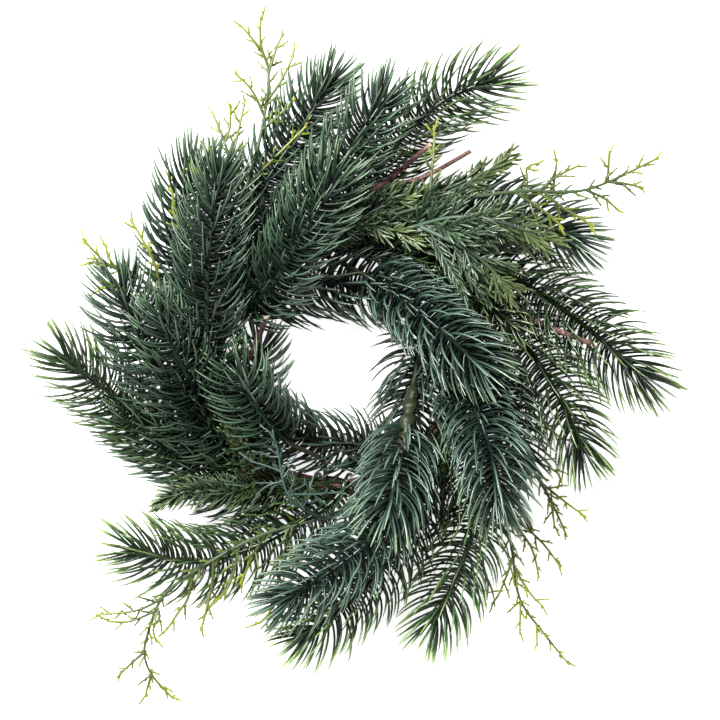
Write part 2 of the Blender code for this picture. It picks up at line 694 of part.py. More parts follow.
def build():
    draw = random.Random(SEED)
    group = bpy.data.collections.new("fir_wreath")
    bpy.context.scene.collection.children.link(group)
    finishes = {name: material(name, colour) for name, colour in COLOURS.items()}
    triangle = round_profile(3)
    square = round_profile(4)
    clearings = Clearings()
    twigs = lay_twigs(clearings)
    stems, limbs = lay_stems(clearings)

    for name, (route, radii, branch) in twigs.items():
        body = place(name, swept_mesh([(route, radii)]), finishes["bark"], group)
        if branch is not None:
            fuse(body, loose_pieces(swept_mesh([(branch, TWIG_FORK_RADII)])))
        if name == RESTING_TWIG:
            cut_resting_flats(body)

    for name, (angle, side, colour, length, count, points) in FIR_SPRAYS.items():
        route, radii, first = stems[name]
        body = place(name, swept_mesh([(route, radii)], square), finishes[colour], group)
        grow_needles(name, body, route, first, length, count, clearings, draw)

    for name, (angle, length, count, flat, points) in OLIVE_SPRAYS.items():
        route, radii, first = stems[name]
        body = place(name, swept_mesh([(route, radii)], square), finishes["olive"], group)
        grow_needles(name, body, route, first, length, count, clearings, draw, flat)

    for name, (angle, colour, points, forks) in CYPRESS_SPRIGS.items():
        build_sprig(name, stems[name], limbs[name], finishes[colour], triangle, group,
                    clearings, draw)

    for profile in (triangle, square):
        bpy.data.objects.remove(profile)


for leftover in list(bpy.data.objects):
    bpy.data.objects.remove(leftover)
build()
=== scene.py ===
"""Artificial fir wreath, dressed: bark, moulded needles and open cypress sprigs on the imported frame.

Lengths are in millimetres until a mesh is made. The wreath lies flat: +X right, +Y away, +Z up.
"""

import math

import bpy
import numpy as np
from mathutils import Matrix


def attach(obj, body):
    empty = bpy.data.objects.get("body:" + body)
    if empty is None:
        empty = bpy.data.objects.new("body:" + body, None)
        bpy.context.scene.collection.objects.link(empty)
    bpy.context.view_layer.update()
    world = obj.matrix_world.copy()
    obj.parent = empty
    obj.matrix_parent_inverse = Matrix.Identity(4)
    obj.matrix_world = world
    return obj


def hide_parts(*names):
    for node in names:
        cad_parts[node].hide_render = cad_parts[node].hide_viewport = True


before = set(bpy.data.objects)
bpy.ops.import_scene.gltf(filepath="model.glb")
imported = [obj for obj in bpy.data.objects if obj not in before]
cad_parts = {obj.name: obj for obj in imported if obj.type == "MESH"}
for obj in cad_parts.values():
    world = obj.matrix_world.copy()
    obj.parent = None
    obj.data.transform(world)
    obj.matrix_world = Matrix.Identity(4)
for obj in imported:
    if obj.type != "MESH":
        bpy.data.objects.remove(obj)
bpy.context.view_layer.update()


# Camera, straight above the wreath, framed as the photo is: 720 pixels of 0.4566 mm, with a long
# lens so that the high sprays hardly swell.
MM = 0.001
FRAME_WIDTH = 328.8
FRAME_CENTRE = (2.5, -1.4)
FOCUS_HEIGHT = 22.0
LENS = 180.0
SENSOR = 36.0

lens = bpy.data.cameras.new("camera")
lens.lens = LENS
lens.sensor_width = SENSOR
lens.clip_end = 20
camera = bpy.data.objects.new("camera", lens)
camera.location = (FRAME_CENTRE[0] * MM, FRAME_CENTRE[1] * MM,
                   (FOCUS_HEIGHT + FRAME_WIDTH * LENS / SENSOR) * MM)
bpy.context.scene.collection.objects.link(camera)
bpy.context.scene.camera = camera


# Floor and light: a white studio table lit softly from all round, with one large lamp from the
# upper left that puts a pale line along the needles.
def linear(hex_colour):
    """sRGB hex to linear RGBA."""
    parts = [int(hex_colour[i:i + 2], 16) / 255 for i in (0, 2, 4)]
    return (*(c / 12.92 if c <= 0.04045 else ((c + 0.055) / 1.055) ** 2.4 for c in parts), 1)


def add_node(tree, kind, inputs=None, **settings):
    """Adds one node with its settings; an input is a value, a node or an output socket."""
    made = tree.nodes.new(kind)
    for name, value in settings.items():
        setattr(made, name, value)
    for socket, value in (inputs or {}).items():
        if isinstance(value, bpy.types.Node):
            value = value.outputs[0]
        if isinstance(value, bpy.types.NodeSocket):
            tree.links.new(value, made.inputs[socket])
        else:
            made.inputs[socket].default_value = value
    return made


# Matt white laminate, which glows a little so that it stays as even as the photo's background
table = bpy.data.materials.new("matt_white_laminate")
table.use_nodes = True
top = table.node_tree.nodes["Principled BSDF"]
top.inputs["Base Color"].default_value = linear("fafafa")
top.inputs["Roughness"].default_value = 0.9
top.inputs["Emission Color"].default_value = linear("ffffff")
top.inputs["Emission Strength"].default_value = 0.86
bpy.ops.mesh.primitive_plane_add(size=6)
floor = bpy.context.active_object
floor.name = "floor"
floor.data.materials.append(table)

# Each lamp: place and size in metres, then its power in watts
LAMPS = [
    ("key_lamp", (-0.8, 0.9, 1.5), 0.55, 90),
    ("fill_lamp", (1.1, -0.6, 1.3), 1.6, 8),
]
for name, place, size, power in LAMPS:
    light = bpy.data.lights.new(name, "AREA")
    light.size = size
    light.energy = power
    lamp = bpy.data.objects.new(name, light)
    lamp.location = place
    aim = -np.array(place)
    lamp.rotation_euler = (math.acos(-aim[2] / np.linalg.norm(aim)), 0,
                           math.atan2(aim[1], aim[0]) - math.pi / 2)
    bpy.context.scene.collection.objects.link(lamp)
world = bpy.data.worlds.new("studio")
world.use_nodes = True
world.node_tree.nodes["Background"].inputs["Color"].default_value = linear("f4f7fa")
world.node_tree.nodes["Background"].inputs["Strength"].default_value = 0.06
bpy.context.scene.world = world
bpy.context.scene.view_settings.view_transform = "Standard"


# Vine twigs: five lengths of reddish-brown vine, wound round each other into a ring, with free
# ends whose pale cut wood shows between the greens. Dried, bent while soft, held by their winding.
RING_CENTRE = (-8.7, -3.8)
RING_RADIUS = 57.0
TWIG_RADIUS = 1.9
FREE_END_RADII = (1.6, 1.15)
FORK_RADII = (1.15, 0.9)

# Four twigs lie side by side in a bundle that turns three times on its way round. The ring waves up
# and down a little, and rests on small flats in the three places where it is lowest.
TWIGS_ABREAST = 4
BUNDLE_RADIUS = 3.1
TWISTS = 3
RING_WAVE = 0.8
FLAT_DEPTH = 0.55
LOW_ANGLE = 110.0
RING_HEIGHT = BUNDLE_RADIUS + TWIG_RADIUS - FLAT_DEPTH + RING_WAVE
RING_STEP = 2.5
KNOT_PARTS = 12

# Each twig: its place in the bundle, the ring angles it runs between, its free end and any fork
TWIGS = {
    "vine_twig_1": (0, 177, -168, [(-55, -9, 11), (-47, 2, 19), (-40, 18, 29)], []),
    "vine_twig_2": (1, 100, -5, [(57, -14, 7), (66, -46, 6), (82, -81, 6)], []),
    "vine_twig_3": (1, -20, -245, [(-32, 59, 8), (-7, 68, 14), (10, 77, 20), (35, 97, 25)],
                    [(10, 77, 20), (31, 82, 22), (53, 94, 22)]),
    "vine_twig_4": (2, -50, -395, [(42, -47, 7), (41, -60, 7), (40, -76, 6)], []),
    "vine_twig_5": (3, 40, -305, [(34, 49, 8), (48, 42, 12), (76, 20, 22), (110, 5, 31)], []),
}


def ring_point(angle, around, reach):
    """Point beside the bundle's middle: `around` is 0 on its outer side and 90 on top."""
    turn, lean = math.radians(angle), math.radians(around)
    radius = RING_RADIUS + reach * math.cos(lean)
    sag = RING_WAVE * math.cos(math.radians(TWISTS * (angle - LOW_ANGLE)))
    return np.array([RING_CENTRE[0] + radius * math.cos(turn),
                     RING_CENTRE[1] + radius * math.sin(turn),
                     RING_HEIGHT - sag + reach * math.sin(lean)])


def smooth_route(points, step):
    """Points about `step` apart on a Catmull-Rom curve through the given ones."""
    knots = np.array([points[0], *points, points[-1]], dtype=float)
    fine = []
    for a, b, c, d in zip(knots, knots[1:], knots[2:], knots[3:]):
        for t in np.linspace(0, 1, KNOT_PARTS, endpoint=False):
            fine.append(0.5 * (2 * b + (c - a) * t + (2 * a - 5 * b + 4 * c - d) * t ** 2
                               + (3 * b - a - 3 * c + d) * t ** 3))
    fine = np.array([*fine, knots[-1]])
    walked = np.concatenate([[0], np.cumsum(np.linalg.norm(np.diff(fine, axis=0), axis=1))])
    stops = np.linspace(0, walked[-1], max(2, round(walked[-1] / step) + 1))
    return np.column_stack([np.interp(stops, walked, fine[:, axis]) for axis in range(3)])


def new_tree(name, sockets):
    """A Geometry Nodes tree with named inputs, given as (name, kind, value), and its input node."""
    tree = bpy.data.node_groups.new(name, "GeometryNodeTree")
    for label, kind, value in sockets:
        socket = tree.interface.new_socket(label, in_out="INPUT", socket_type="NodeSocket" + kind)
        if value is not None:
            socket.default_value = value
    tree.interface.new_socket("Geometry", in_out="OUTPUT", socket_type="NodeSocketGeometry")
    return tree, add_node(tree, "NodeGroupInput").outputs


def grow(name, tree, strands, values):
    """Runs a tree on strands, each with points and radii in mm, and gives a plain mesh piece."""
    curve = bpy.data.curves.new(name, "CURVE")
    curve.dimensions = "3D"
    for points, radii in strands:
        spline = curve.splines.new("POLY")
        spline.points.add(len(points) - 1)
        for knot, point, radius in zip(spline.points, points, radii):
            knot.co = (*(np.array(point) * MM), 1)
            knot.radius = radius * MM
    holder = bpy.data.objects.new(name, curve)
    bpy.context.scene.collection.objects.link(holder)
    modifier = holder.modifiers.new("shape", "NODES")
    modifier.node_group = tree
    sockets = {item.name: item.identifier for item in tree.interface.items_tree
               if item.in_out == "INPUT"}
    for label, value in values.items():
        modifier[sockets[label]] = value
    depsgraph = bpy.context.evaluated_depsgraph_get()
    mesh = bpy.data.meshes.new_from_object(holder.evaluated_get(depsgraph))
    bpy.data.objects.remove(holder)
    bpy.data.curves.remove(curve)
    mesh.name = name
    piece = bpy.data.objects.new(name, mesh)
    bpy.context.scene.collection.objects.link(piece)
    return piece


def dress(piece):
    """The piece stands for the node of its own name."""
    node = piece.name.removesuffix("_dressed")
    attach(piece, "root")
    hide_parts(node)


# Dried vine bark: thin and matt, reddish brown, with scars about 4 mm across and fine streaks 0.7 mm
# apart that roughen the light. The cut ends show pale pinkish wood.
bark = bpy.data.materials.new("dried_vine_bark")
bark.use_nodes = True
tree = bark.node_tree
shader = tree.nodes["Principled BSDF"]
place_on_object = add_node(tree, "ShaderNodeTexCoord").outputs["Object"]
scars = add_node(tree, "ShaderNodeTexNoise", {"Vector": place_on_object, "Scale": 260.0, "Detail": 3.0})
streaks = add_node(tree, "ShaderNodeTexNoise",
                   {"Vector": place_on_object, "Scale": 1400.0, "Detail": 2.0})
tone = add_node(tree, "ShaderNodeMath", {0: scars, 1: streaks}, operation="MULTIPLY")
bark_colour = add_node(tree, "ShaderNodeValToRGB", {"Fac": tone})
ramp = bark_colour.color_ramp
ramp.elements[0].position, ramp.elements[0].color = 0.12, linear("33201c")
ramp.elements[1].position, ramp.elements[1].color = 0.42, linear("a67e76")
ramp.elements.new(0.25).color = linear("6c4843")
cut = add_node(tree, "ShaderNodeAttribute", attribute_name="cut").outputs["Fac"]
wood = add_node(tree, "ShaderNodeMix", {0: cut, 6: bark_colour, 7: linear("e6c3a8")},
                data_type="RGBA")
tree.links.new(wood.outputs[2], shader.inputs["Base Color"])
ridges = add_node(tree, "ShaderNodeBump", {"Strength": 0.5, "Distance": 0.0003, "Height": streaks})
tree.links.new(ridges.outputs[0], shader.inputs["Normal"])
shader.inputs["Roughness"].default_value = 0.75

# The twig's tree: a round rod along its route, with knobs about 10 mm apart and ridges about 1 mm
# apart. Nothing of it goes below the table, and its end faces are marked as cut wood.
twig_tree, given = new_tree("wound_vine_twig", [
    ("Route", "Geometry", None), ("Step", "Float", 0.0012), ("Sides", "Int", 14),
    ("Knobs", "Float", 0.16), ("Ridges", "Float", 0.00012), ("Material", "Material", None)])
fine = add_node(twig_tree, "GeometryNodeResampleCurve",
                {"Curve": given["Route"], "Length": given["Step"]}, mode="LENGTH")
factor = add_node(twig_tree, "GeometryNodeSplineParameter").outputs["Factor"]
fine = add_node(twig_tree, "GeometryNodeStoreNamedAttribute",
                {"Geometry": fine, "Name": "along", "Value": factor}, data_type="FLOAT")
knobs = add_node(twig_tree, "ShaderNodeTexNoise", {"Scale": 95.0, "Detail": 2.0})
knobs = add_node(twig_tree, "ShaderNodeMath", {0: knobs, 1: 0.5}, operation="SUBTRACT")
knobs = add_node(twig_tree, "ShaderNodeMath", {0: knobs, 1: given["Knobs"], 2: 1.0},
                 operation="MULTIPLY_ADD")
radius = add_node(twig_tree, "GeometryNodeInputRadius")
radius = add_node(twig_tree, "ShaderNodeMath", {0: radius, 1: knobs}, operation="MULTIPLY")
profile = add_node(twig_tree, "GeometryNodeCurvePrimitiveCircle",
                   {"Resolution": given["Sides"], "Radius": 1.0})
twig = add_node(twig_tree, "GeometryNodeCurveToMesh",
                {"Curve": fine, "Profile Curve": profile, "Scale": radius, "Fill Caps": True})
rough = add_node(twig_tree, "ShaderNodeTexNoise", {"Scale": 900.0, "Detail": 1.0})
rough = add_node(twig_tree, "ShaderNodeMath", {0: rough, 1: 0.5}, operation="SUBTRACT")
rough = add_node(twig_tree, "ShaderNodeMath", {0: rough, 1: given["Ridges"]}, operation="MULTIPLY")
normal = add_node(twig_tree, "GeometryNodeInputNormal")
push = add_node(twig_tree, "ShaderNodeVectorMath", {0: normal, "Scale": rough}, operation="SCALE")
twig = add_node(twig_tree, "GeometryNodeSetPosition", {"Geometry": twig, "Offset": push})
place = add_node(twig_tree, "GeometryNodeInputPosition")
x, y, z = add_node(twig_tree, "ShaderNodeSeparateXYZ", {0: place}).outputs
z = add_node(twig_tree, "ShaderNodeMath", {0: z, 1: 0.0}, operation="MAXIMUM")
place = add_node(twig_tree, "ShaderNodeCombineXYZ", {"X": x, "Y": y, "Z": z})
twig = add_node(twig_tree, "GeometryNodeSetPosition", {"Geometry": twig, "Position": place})
along = add_node(twig_tree, "GeometryNodeInputNamedAttribute", {"Name": "along"}, data_type="FLOAT")
at_end = add_node(twig_tree, "FunctionNodeCompare", {0: along, 1: 0.995}, operation="GREATER_EQUAL")
at_start = add_node(twig_tree, "FunctionNodeCompare", {0: along, 1: 0.00001}, operation="LESS_EQUAL")
ends = add_node(twig_tree, "FunctionNodeBooleanMath", {0: at_end, 1: at_start}, operation="OR")
twig = add_node(twig_tree, "GeometryNodeStoreNamedAttribute",
                {"Geometry": twig, "Name": "cut", "Value": ends}, data_type="FLOAT", domain="FACE")
not_ends = add_node(twig_tree, "FunctionNodeBooleanMath", {0: ends}, operation="NOT")
twig = add_node(twig_tree, "GeometryNodeSetShadeSmooth",
                {"Geometry": twig, "Shade Smooth": not_ends}, domain="FACE")
twig = add_node(twig_tree, "GeometryNodeRealizeInstances", {"Geometry": twig})
twig = add_node(twig_tree, "GeometryNodeSetMaterial", {"Geometry": twig, "Material": given["Material"]})
add_node(twig_tree, "NodeGroupOutput", {0: twig})

for name, (place_in_bundle, start, end, free_end, fork) in TWIGS.items():
    phase = -90 - TWISTS * LOW_ANGLE + 360 * place_in_bundle / TWIGS_ABREAST
    wound = [ring_point(angle, phase + TWISTS * angle, BUNDLE_RADIUS)
             for angle in np.linspace(start, end, round((start - end) / RING_STEP) + 1)]
    freed = smooth_route([wound[-1], *free_end], RING_STEP)
    route = [*wound, *freed[1:]]
    radii = [*[TWIG_RADIUS] * len(wound), *np.linspace(*FREE_END_RADII, len(freed) - 1)]
    strands = [(route, radii)]
    if fork:
        branch = smooth_route(fork, RING_STEP)
        strands.append((branch, np.linspace(*FORK_RADII, len(branch))))
    dress(grow(name + "_dressed", twig_tree, strands, {"Material": bark}))


# Fir sprays: each one a wired stem with polythene needles moulded all round it, which open from
# the stem and sweep forward. The wired tail is bent over the twig ring.
WIRE_RADIUS = 0.85
STEM_RADIUS = 1.5
STEM_TIP_RADIUS = 1.1
STEM_STEP = 2.2

# The tail's hook: its gap to the twigs, how far it runs from the middle of the bundle, the angles
# round the bundle that it turns between for each side a stem leaves by, and how many degrees of the
# ring it moves on by meanwhile
HOOK_GAP = 0.525
HOOK_REACH = BUNDLE_RADIUS + TWIG_RADIUS + HOOK_GAP + WIRE_RADIUS
HOOK_TURNS = {"outward": (205.0, 80.0), "inward": (-25.0, 110.0)}
HOOK_ADVANCE = 5.0
HOOK_KNOTS = 12

# Knots of the hook that carry needles, and how thick a bare foot is beside the leafy stem
HOOK_LEAFY = 4
BARE_GIRTH = 0.75

# Each fir spray: hook angle, side it leaves by, colour, needle length, number of the stem point
# where the needles start (None is on the hook), and the stem points
FIR_SPRAYS = {
    "fir_fringe_bottom": (297, "inward", "deep", 22, None,
                          [(5, -41, 13), (-17, -39, 12), (-36, -29, 13)]),
    "fir_fringe_right": (14, "inward", "deep", 27, None,
                         [(30, 4, 13), (28, -10, 13), (26, -34, 14)]),
    "fir_fringe_top": (151, "inward", "deep", 27, None,
                       [(-46, 31, 15), (-13, 34, 14), (6, 33, 13), (22, 28, 13)]),
    "fir_fringe_left": (228, "inward", "deep", 21, None,
                        [(-46, -32, 13), (-46, -14, 13), (-43, 4, 13)]),
    "fir_top_right": (90, "outward", "fresh", 28, None,
                      [(2, 68, 13), (18, 96, 14), (40, 117, 14), (63, 127, 17)]),
    "fir_top_back": (142, "outward", "deep", 25, None,
                     [(-55, 40, 13), (-45, 72, 14), (-29, 98, 15), (-11, 126, 17)]),
    "fir_upper_left_back": (178, "outward", "deep", 25, None,
                            [(-72, 8, 15), (-82, 38, 16), (-80, 64, 15), (-73, 87, 16)]),
    "fir_left_outer": (236, "outward", "fresh", 28, None,
                       [(-52, -52, 14), (-75, -41, 16), (-105, -22, 16), (-133, 0, 14)]),
    "fir_left_low": (249, "outward", "deep", 24, 0,
                     [(-34, -62, 12), (-59, -59, 12), (-84, -44, 13), (-105, -30, 13)]),
    "fir_bottom_left": (273, "outward", "fresh", 27, None,
                        [(-16, -71, 13), (-48, -88, 13), (-75, -94, 14), (-102, -88, 14)]),
    "fir_bottom_right": (331, "outward", "fresh", 27, None,
                         [(49, -42, 14), (56, -70, 17), (47, -100, 16), (36, -122, 14)]),
    "fir_right_lower": (37, "outward", "fresh", 27, None,
                        [(47, 31, 13), (76, 8, 15), (94, -19, 15), (105, -43, 13)]),
    "fir_right_upper": (76, "outward", "deep", 25, None,
                        [(16, 61, 13), (48, 67, 13), (76, 65, 13), (102, 54, 13)]),
    "fir_right_outer": (62, "outward", "fresh", 28, None,
                        [(29, 53, 16), (66, 40, 23), (100, 18, 24), (132, -9, 20)]),
    "fir_bottom_outer": (313, "outward", "fresh", 25, None,
                         [(30, -58, 16), (19, -88, 19), (-1, -111, 20), (-24, -128, 16)]),
    "fir_left_middle": (221, "outward", "deep", 27, None,
                        [(-60, -35, 20), (-77, -21, 26), (-96, 4, 28), (-107, 32, 24)]),
    "fir_left_second": (213, "outward", "deep", 24, None,
                        [(-67, -27, 18), (-74, -12, 34), (-82, 4, 38), (-88, 18, 36)]),
    "fir_right_back": (21, "outward", "deep", 22, None,
                       [(51, 11, 17), (68, -18, 22), (77, -48, 20)]),
    "fir_right_front": (4, "outward", "blue", 26, None,
                        [(51, -11, 19), (57, -28, 35), (62, -46, 38), (65, -66, 34)]),
    "fir_right_olive": (47, "outward", "olive", 13, None,
                        [(40, 36, 20), (58, 26, 29), (74, 13, 31)]),
    "fir_top_front": (128, "outward", "deep", 25, None,
                      [(-36, 54, 20), (-18, 72, 31), (-1, 95, 33), (14, 118, 31)]),
    "fir_bottom_front": (305, "outward", "blue", 26, None,
                         [(22, -60, 20), (8, -82, 34), (-12, -98, 35), (-32, -111, 29)]),
    "fir_left_front": (199, "outward", "deep", 26, None,
                       [(-68, -14, 20), (-67, 8, 36), (-66, 45, 40), (-61, 83, 38)]),
    "fir_inner_left": (265, "inward", "deep", 24, 1,
                       [(-15, -47, 18), (-30, -39, 26), (-43, -25, 36), (-53, -8, 38)]),
    "fir_upper_left": (166, "inward", "deep", 25, 0,
                       [(-51, 19, 21), (-36, 34, 37), (-23, 56, 45), (-9, 79, 46)]),
    "fir_inner_right": (104, "inward", "blue", 25, 1,
                        [(-8, 44, 18), (7, 36, 22), (21, 27, 30), (39, 12, 39), (57, -4, 40)]),
    "fir_lower_front": (29, "inward", "blue", 26, 2,
                        [(33, 12, 18), (27, -12, 28), (24, -30, 38), (19, -54, 46), (15, -68, 46)]),
}


def nearest(route, point):
    """Number of the route's point that lies nearest to the given one."""
    return int(np.argmin(np.linalg.norm(np.array(route) - np.array(point), axis=1)))


def stem_route(angle, side, points, bare, radius, tip_radius):
    """A stem from its hook to its tip: points, radii, and the share where foliage starts."""
    first, last = HOOK_TURNS[side]
    hook = [ring_point(angle + HOOK_ADVANCE * (1 - part), first + (last - first) * part, HOOK_REACH)
            for part in np.linspace(0, 1, HOOK_KNOTS)]
    free = smooth_route([hook[-1], *points], STEM_STEP)
    leafy = -HOOK_LEAFY
    if bare is not None:
        leafy = nearest(free, points[bare])
    route = [*hook, *free[1:]]
    start = len(hook) - 1 + leafy
    bare_radii = [WIRE_RADIUS] * len(hook) + [radius * BARE_GIRTH] * (len(free) - 1)
    radii = [*bare_radii[:start], *np.linspace(radius, tip_radius, len(route) - start)]
    steps = np.linalg.norm(np.diff(np.array(route), axis=0), axis=1)
    return route, radii, steps[:start].sum() / steps.sum()


# Barbs: thin strands that stand along a stem, turned round it step by step, each one opening from
# it and sweeping forward. Needles, side twigs and shoots are all made with this tree.
GOLDEN_ANGLE = 2.39996

# Shares of a barb's reach that follow its direction at the root and at the point, how much of its
# sweep goes as it closes, how far its root slides, in spacings, and how suddenly its point narrows
ROOT_PART = 0.5
TIP_PART = 0.54
SOFTENED_SWEEP = 0.6
ROOT_SLIDE = 0.4
POINT_SHARPNESS = 6.0

barbs, given = new_tree("barbs_along_a_stem", [
    ("Stem", "Geometry", None), ("First", "Float", 0.2), ("Spacing", "Float", 0.0006),
    ("Turn", "Float", GOLDEN_ANGLE), ("Turn Spread", "Float", 0.3), ("Level", "Float", 0.0),
    ("Length", "Float", 0.026), ("Length Spread", "Float", 0.1), ("Tip Length", "Float", 1.0),
    ("Shorter From", "Float", 0.0), ("Opening", "Float", 1.2), ("Opening Spread", "Float", 0.12),
    ("Sweep", "Float", 0.75), ("Closing", "Float", 0.66), ("Closing From", "Float", 0.8),
    ("Stray", "Float", 0.05), ("Width", "Float", 0.0005), ("Taper", "Float", 0.85),
    ("Steps", "Int", 8), ("Floor", "Float", 0.0011), ("Seed", "Int", 1)])
level = add_node(barbs, "GeometryNodeSetCurveNormal", {"Curve": given["Stem"]}, mode="Z_UP")
leafy = add_node(barbs, "GeometryNodeTrimCurve", {0: level, 2: given["First"]}, mode="FACTOR")
factor = add_node(barbs, "GeometryNodeSplineParameter").outputs["Factor"]
leafy = add_node(barbs, "GeometryNodeStoreNamedAttribute",
                 {"Geometry": leafy, "Name": "share", "Value": factor}, data_type="FLOAT")
roots = add_node(barbs, "GeometryNodeCurveToPoints", {"Curve": leafy, "Length": given["Spacing"]},
                 mode="LENGTH")
heading, level_out = roots.outputs["Tangent"], roots.outputs["Normal"]
share = add_node(barbs, "GeometryNodeInputNamedAttribute", {"Name": "share"}, data_type="FLOAT")
index = add_node(barbs, "GeometryNodeInputIndex")

# Nine draws from -1 to 1 for each barb
chances = []
for draw in range(3):
    cell = add_node(barbs, "ShaderNodeCombineXYZ", {"X": index, "Y": given["Seed"], "Z": float(draw)})
    noise = add_node(barbs, "ShaderNodeTexWhiteNoise", {"Vector": cell}, noise_dimensions="3D")
    chances.append(add_node(barbs, "ShaderNodeVectorMath",
                            {0: noise.outputs["Color"], 1: (2, 2, 2), 2: (-1, -1, -1)},
                            operation="MULTIPLY_ADD"))
turn_chance, length_chance, opening_chance = add_node(
    barbs, "ShaderNodeSeparateXYZ", {0: chances[0]}).outputs
slide_chance, tone_chance, sweep_chance = add_node(
    barbs, "ShaderNodeSeparateXYZ", {0: chances[1]}).outputs

# Its turn round the stem, drawn towards the level plane
turn = add_node(barbs, "ShaderNodeMath", {0: index, 1: given["Turn"]}, operation="MULTIPLY")
turn = add_node(barbs, "ShaderNodeMath", {0: turn_chance, 1: given["Turn Spread"], 2: turn},
                operation="MULTIPLY_ADD")
twice = add_node(barbs, "ShaderNodeMath", {0: turn, 1: 2.0}, operation="MULTIPLY")
pull = add_node(barbs, "ShaderNodeMath", {0: twice}, operation="SINE")
pull = add_node(barbs, "ShaderNodeMath", {0: pull, 1: given["Level"]}, operation="MULTIPLY")
turn = add_node(barbs, "ShaderNodeMath", {0: turn, 1: pull}, operation="SUBTRACT")
outward = add_node(barbs, "ShaderNodeVectorRotate", {"Vector": level_out, "Axis": heading, "Angle": turn},
                   rotation_type="AXIS_ANGLE")

# How far it opens at its root and at its point, less of both near the stem's tip
near_tip = add_node(barbs, "ShaderNodeMapRange", {0: share, 1: given["Closing From"], 2: 1.0},
                    interpolation_type="SMOOTHSTEP")
closing = add_node(barbs, "ShaderNodeMath", {0: near_tip, 1: given["Closing"]}, operation="MULTIPLY")
closing = add_node(barbs, "ShaderNodeMath", {0: 1.0, 1: closing}, operation="SUBTRACT")
opening = add_node(barbs, "ShaderNodeMath",
                   {0: opening_chance, 1: given["Opening Spread"], 2: given["Opening"]},
                   operation="MULTIPLY_ADD")
sweep = add_node(barbs, "ShaderNodeMath",
                 {0: sweep_chance, 1: given["Opening Spread"], 2: given["Sweep"]},
                 operation="MULTIPLY_ADD")
softer = add_node(barbs, "ShaderNodeMath",
                  {0: closing, 1: SOFTENED_SWEEP, 2: 1 - SOFTENED_SWEEP}, operation="MULTIPLY_ADD")
sweep = add_node(barbs, "ShaderNodeMath", {0: sweep, 1: softer}, operation="MULTIPLY")
closed = add_node(barbs, "ShaderNodeMath", {0: opening, 1: sweep}, operation="SUBTRACT")
opening = add_node(barbs, "ShaderNodeMath", {0: opening, 1: closing}, operation="MULTIPLY")
closed = add_node(barbs, "ShaderNodeMath", {0: closed, 1: closing}, operation="MULTIPLY")

# Its length, and how far its root slides back along the stem
reach = add_node(barbs, "ShaderNodeMath", {0: length_chance, 1: given["Length Spread"], 2: 1.0},
                 operation="MULTIPLY_ADD")
reach = add_node(barbs, "ShaderNodeMath", {0: reach, 1: given["Length"]}, operation="MULTIPLY")
shorter = add_node(barbs, "ShaderNodeMapRange",
                   {0: share, 1: given["Shorter From"], 2: 1.0, 3: 1.0, 4: given["Tip Length"]})
reach = add_node(barbs, "ShaderNodeMath", {0: reach, 1: shorter}, operation="MULTIPLY")
slide = add_node(barbs, "ShaderNodeMath", {0: slide_chance, 1: ROOT_SLIDE, 2: -ROOT_SLIDE},
                 operation="MULTIPLY_ADD")
slide = add_node(barbs, "ShaderNodeMath", {0: slide, 1: given["Spacing"]}, operation="MULTIPLY")
slide = add_node(barbs, "ShaderNodeVectorMath", {0: heading, "Scale": slide}, operation="SCALE")
position = add_node(barbs, "GeometryNodeInputPosition")
root = add_node(barbs, "ShaderNodeVectorMath", {0: position, 1: slide}, operation="ADD")
stray = add_node(barbs, "ShaderNodeVectorMath", {0: chances[2], "Scale": given["Stray"]},
                 operation="SCALE")

# One short thread on each root, which is then bent by what is stored with the root
kept = {"root": root, "heading": heading, "outward": outward, "stray": stray}
kinds = dict.fromkeys(kept, "FLOAT_VECTOR")
kept.update({"reach": reach, "opening": opening, "closed": closed, "tone": tone_chance})
for label, value in kept.items():
    roots = add_node(barbs, "GeometryNodeStoreNamedAttribute",
                     {"Geometry": roots, "Name": label, "Value": value},
                     data_type=kinds.get(label, "FLOAT"))
thread = add_node(barbs, "GeometryNodeCurvePrimitiveLine", {"End": (0, 0, MM)})
thread = add_node(barbs, "GeometryNodeResampleCurve", {"Curve": thread, "Count": given["Steps"]},
                  mode="COUNT")
thread = add_node(barbs, "GeometryNodeStoreNamedAttribute",
                  {"Geometry": thread, "Name": "along", "Value": factor}, data_type="FLOAT")
barb = add_node(barbs, "GeometryNodeInstanceOnPoints", {"Points": roots, "Instance": thread})
barb = add_node(barbs, "GeometryNodeRealizeInstances", {"Geometry": barb})
read = {}
for label in (*kept, "along"):
    read[label] = add_node(barbs, "GeometryNodeInputNamedAttribute", {"Name": label},
                           data_type=kinds.get(label, "FLOAT")).outputs[0]
square = add_node(barbs, "ShaderNodeMath", {0: read["along"], 1: read["along"]}, operation="MULTIPLY")
first_part = add_node(barbs, "ShaderNodeMath", {0: read["along"], 1: 2.0}, operation="MULTIPLY")
first_part = add_node(barbs, "ShaderNodeMath", {0: first_part, 1: square}, operation="SUBTRACT")
first_part = add_node(barbs, "ShaderNodeMath", {0: first_part, 1: ROOT_PART}, operation="MULTIPLY")
second_part = add_node(barbs, "ShaderNodeMath", {0: square, 1: TIP_PART}, operation="MULTIPLY")
moves = []
for operation, direction in (("COSINE", "heading"), ("SINE", "outward")):
    open_part = add_node(barbs, "ShaderNodeMath", {0: read["opening"]}, operation=operation)
    closed_part = add_node(barbs, "ShaderNodeMath", {0: read["closed"]}, operation=operation)
    closed_part = add_node(barbs, "ShaderNodeMath", {0: closed_part, 1: second_part},
                           operation="MULTIPLY")
    length = add_node(barbs, "ShaderNodeMath", {0: open_part, 1: first_part, 2: closed_part},
                      operation="MULTIPLY_ADD")
    moves.append(add_node(barbs, "ShaderNodeVectorMath", {0: read[direction], "Scale": length},
                          operation="SCALE"))
moves.append(add_node(barbs, "ShaderNodeVectorMath", {0: read["stray"], "Scale": square},
                      operation="SCALE"))
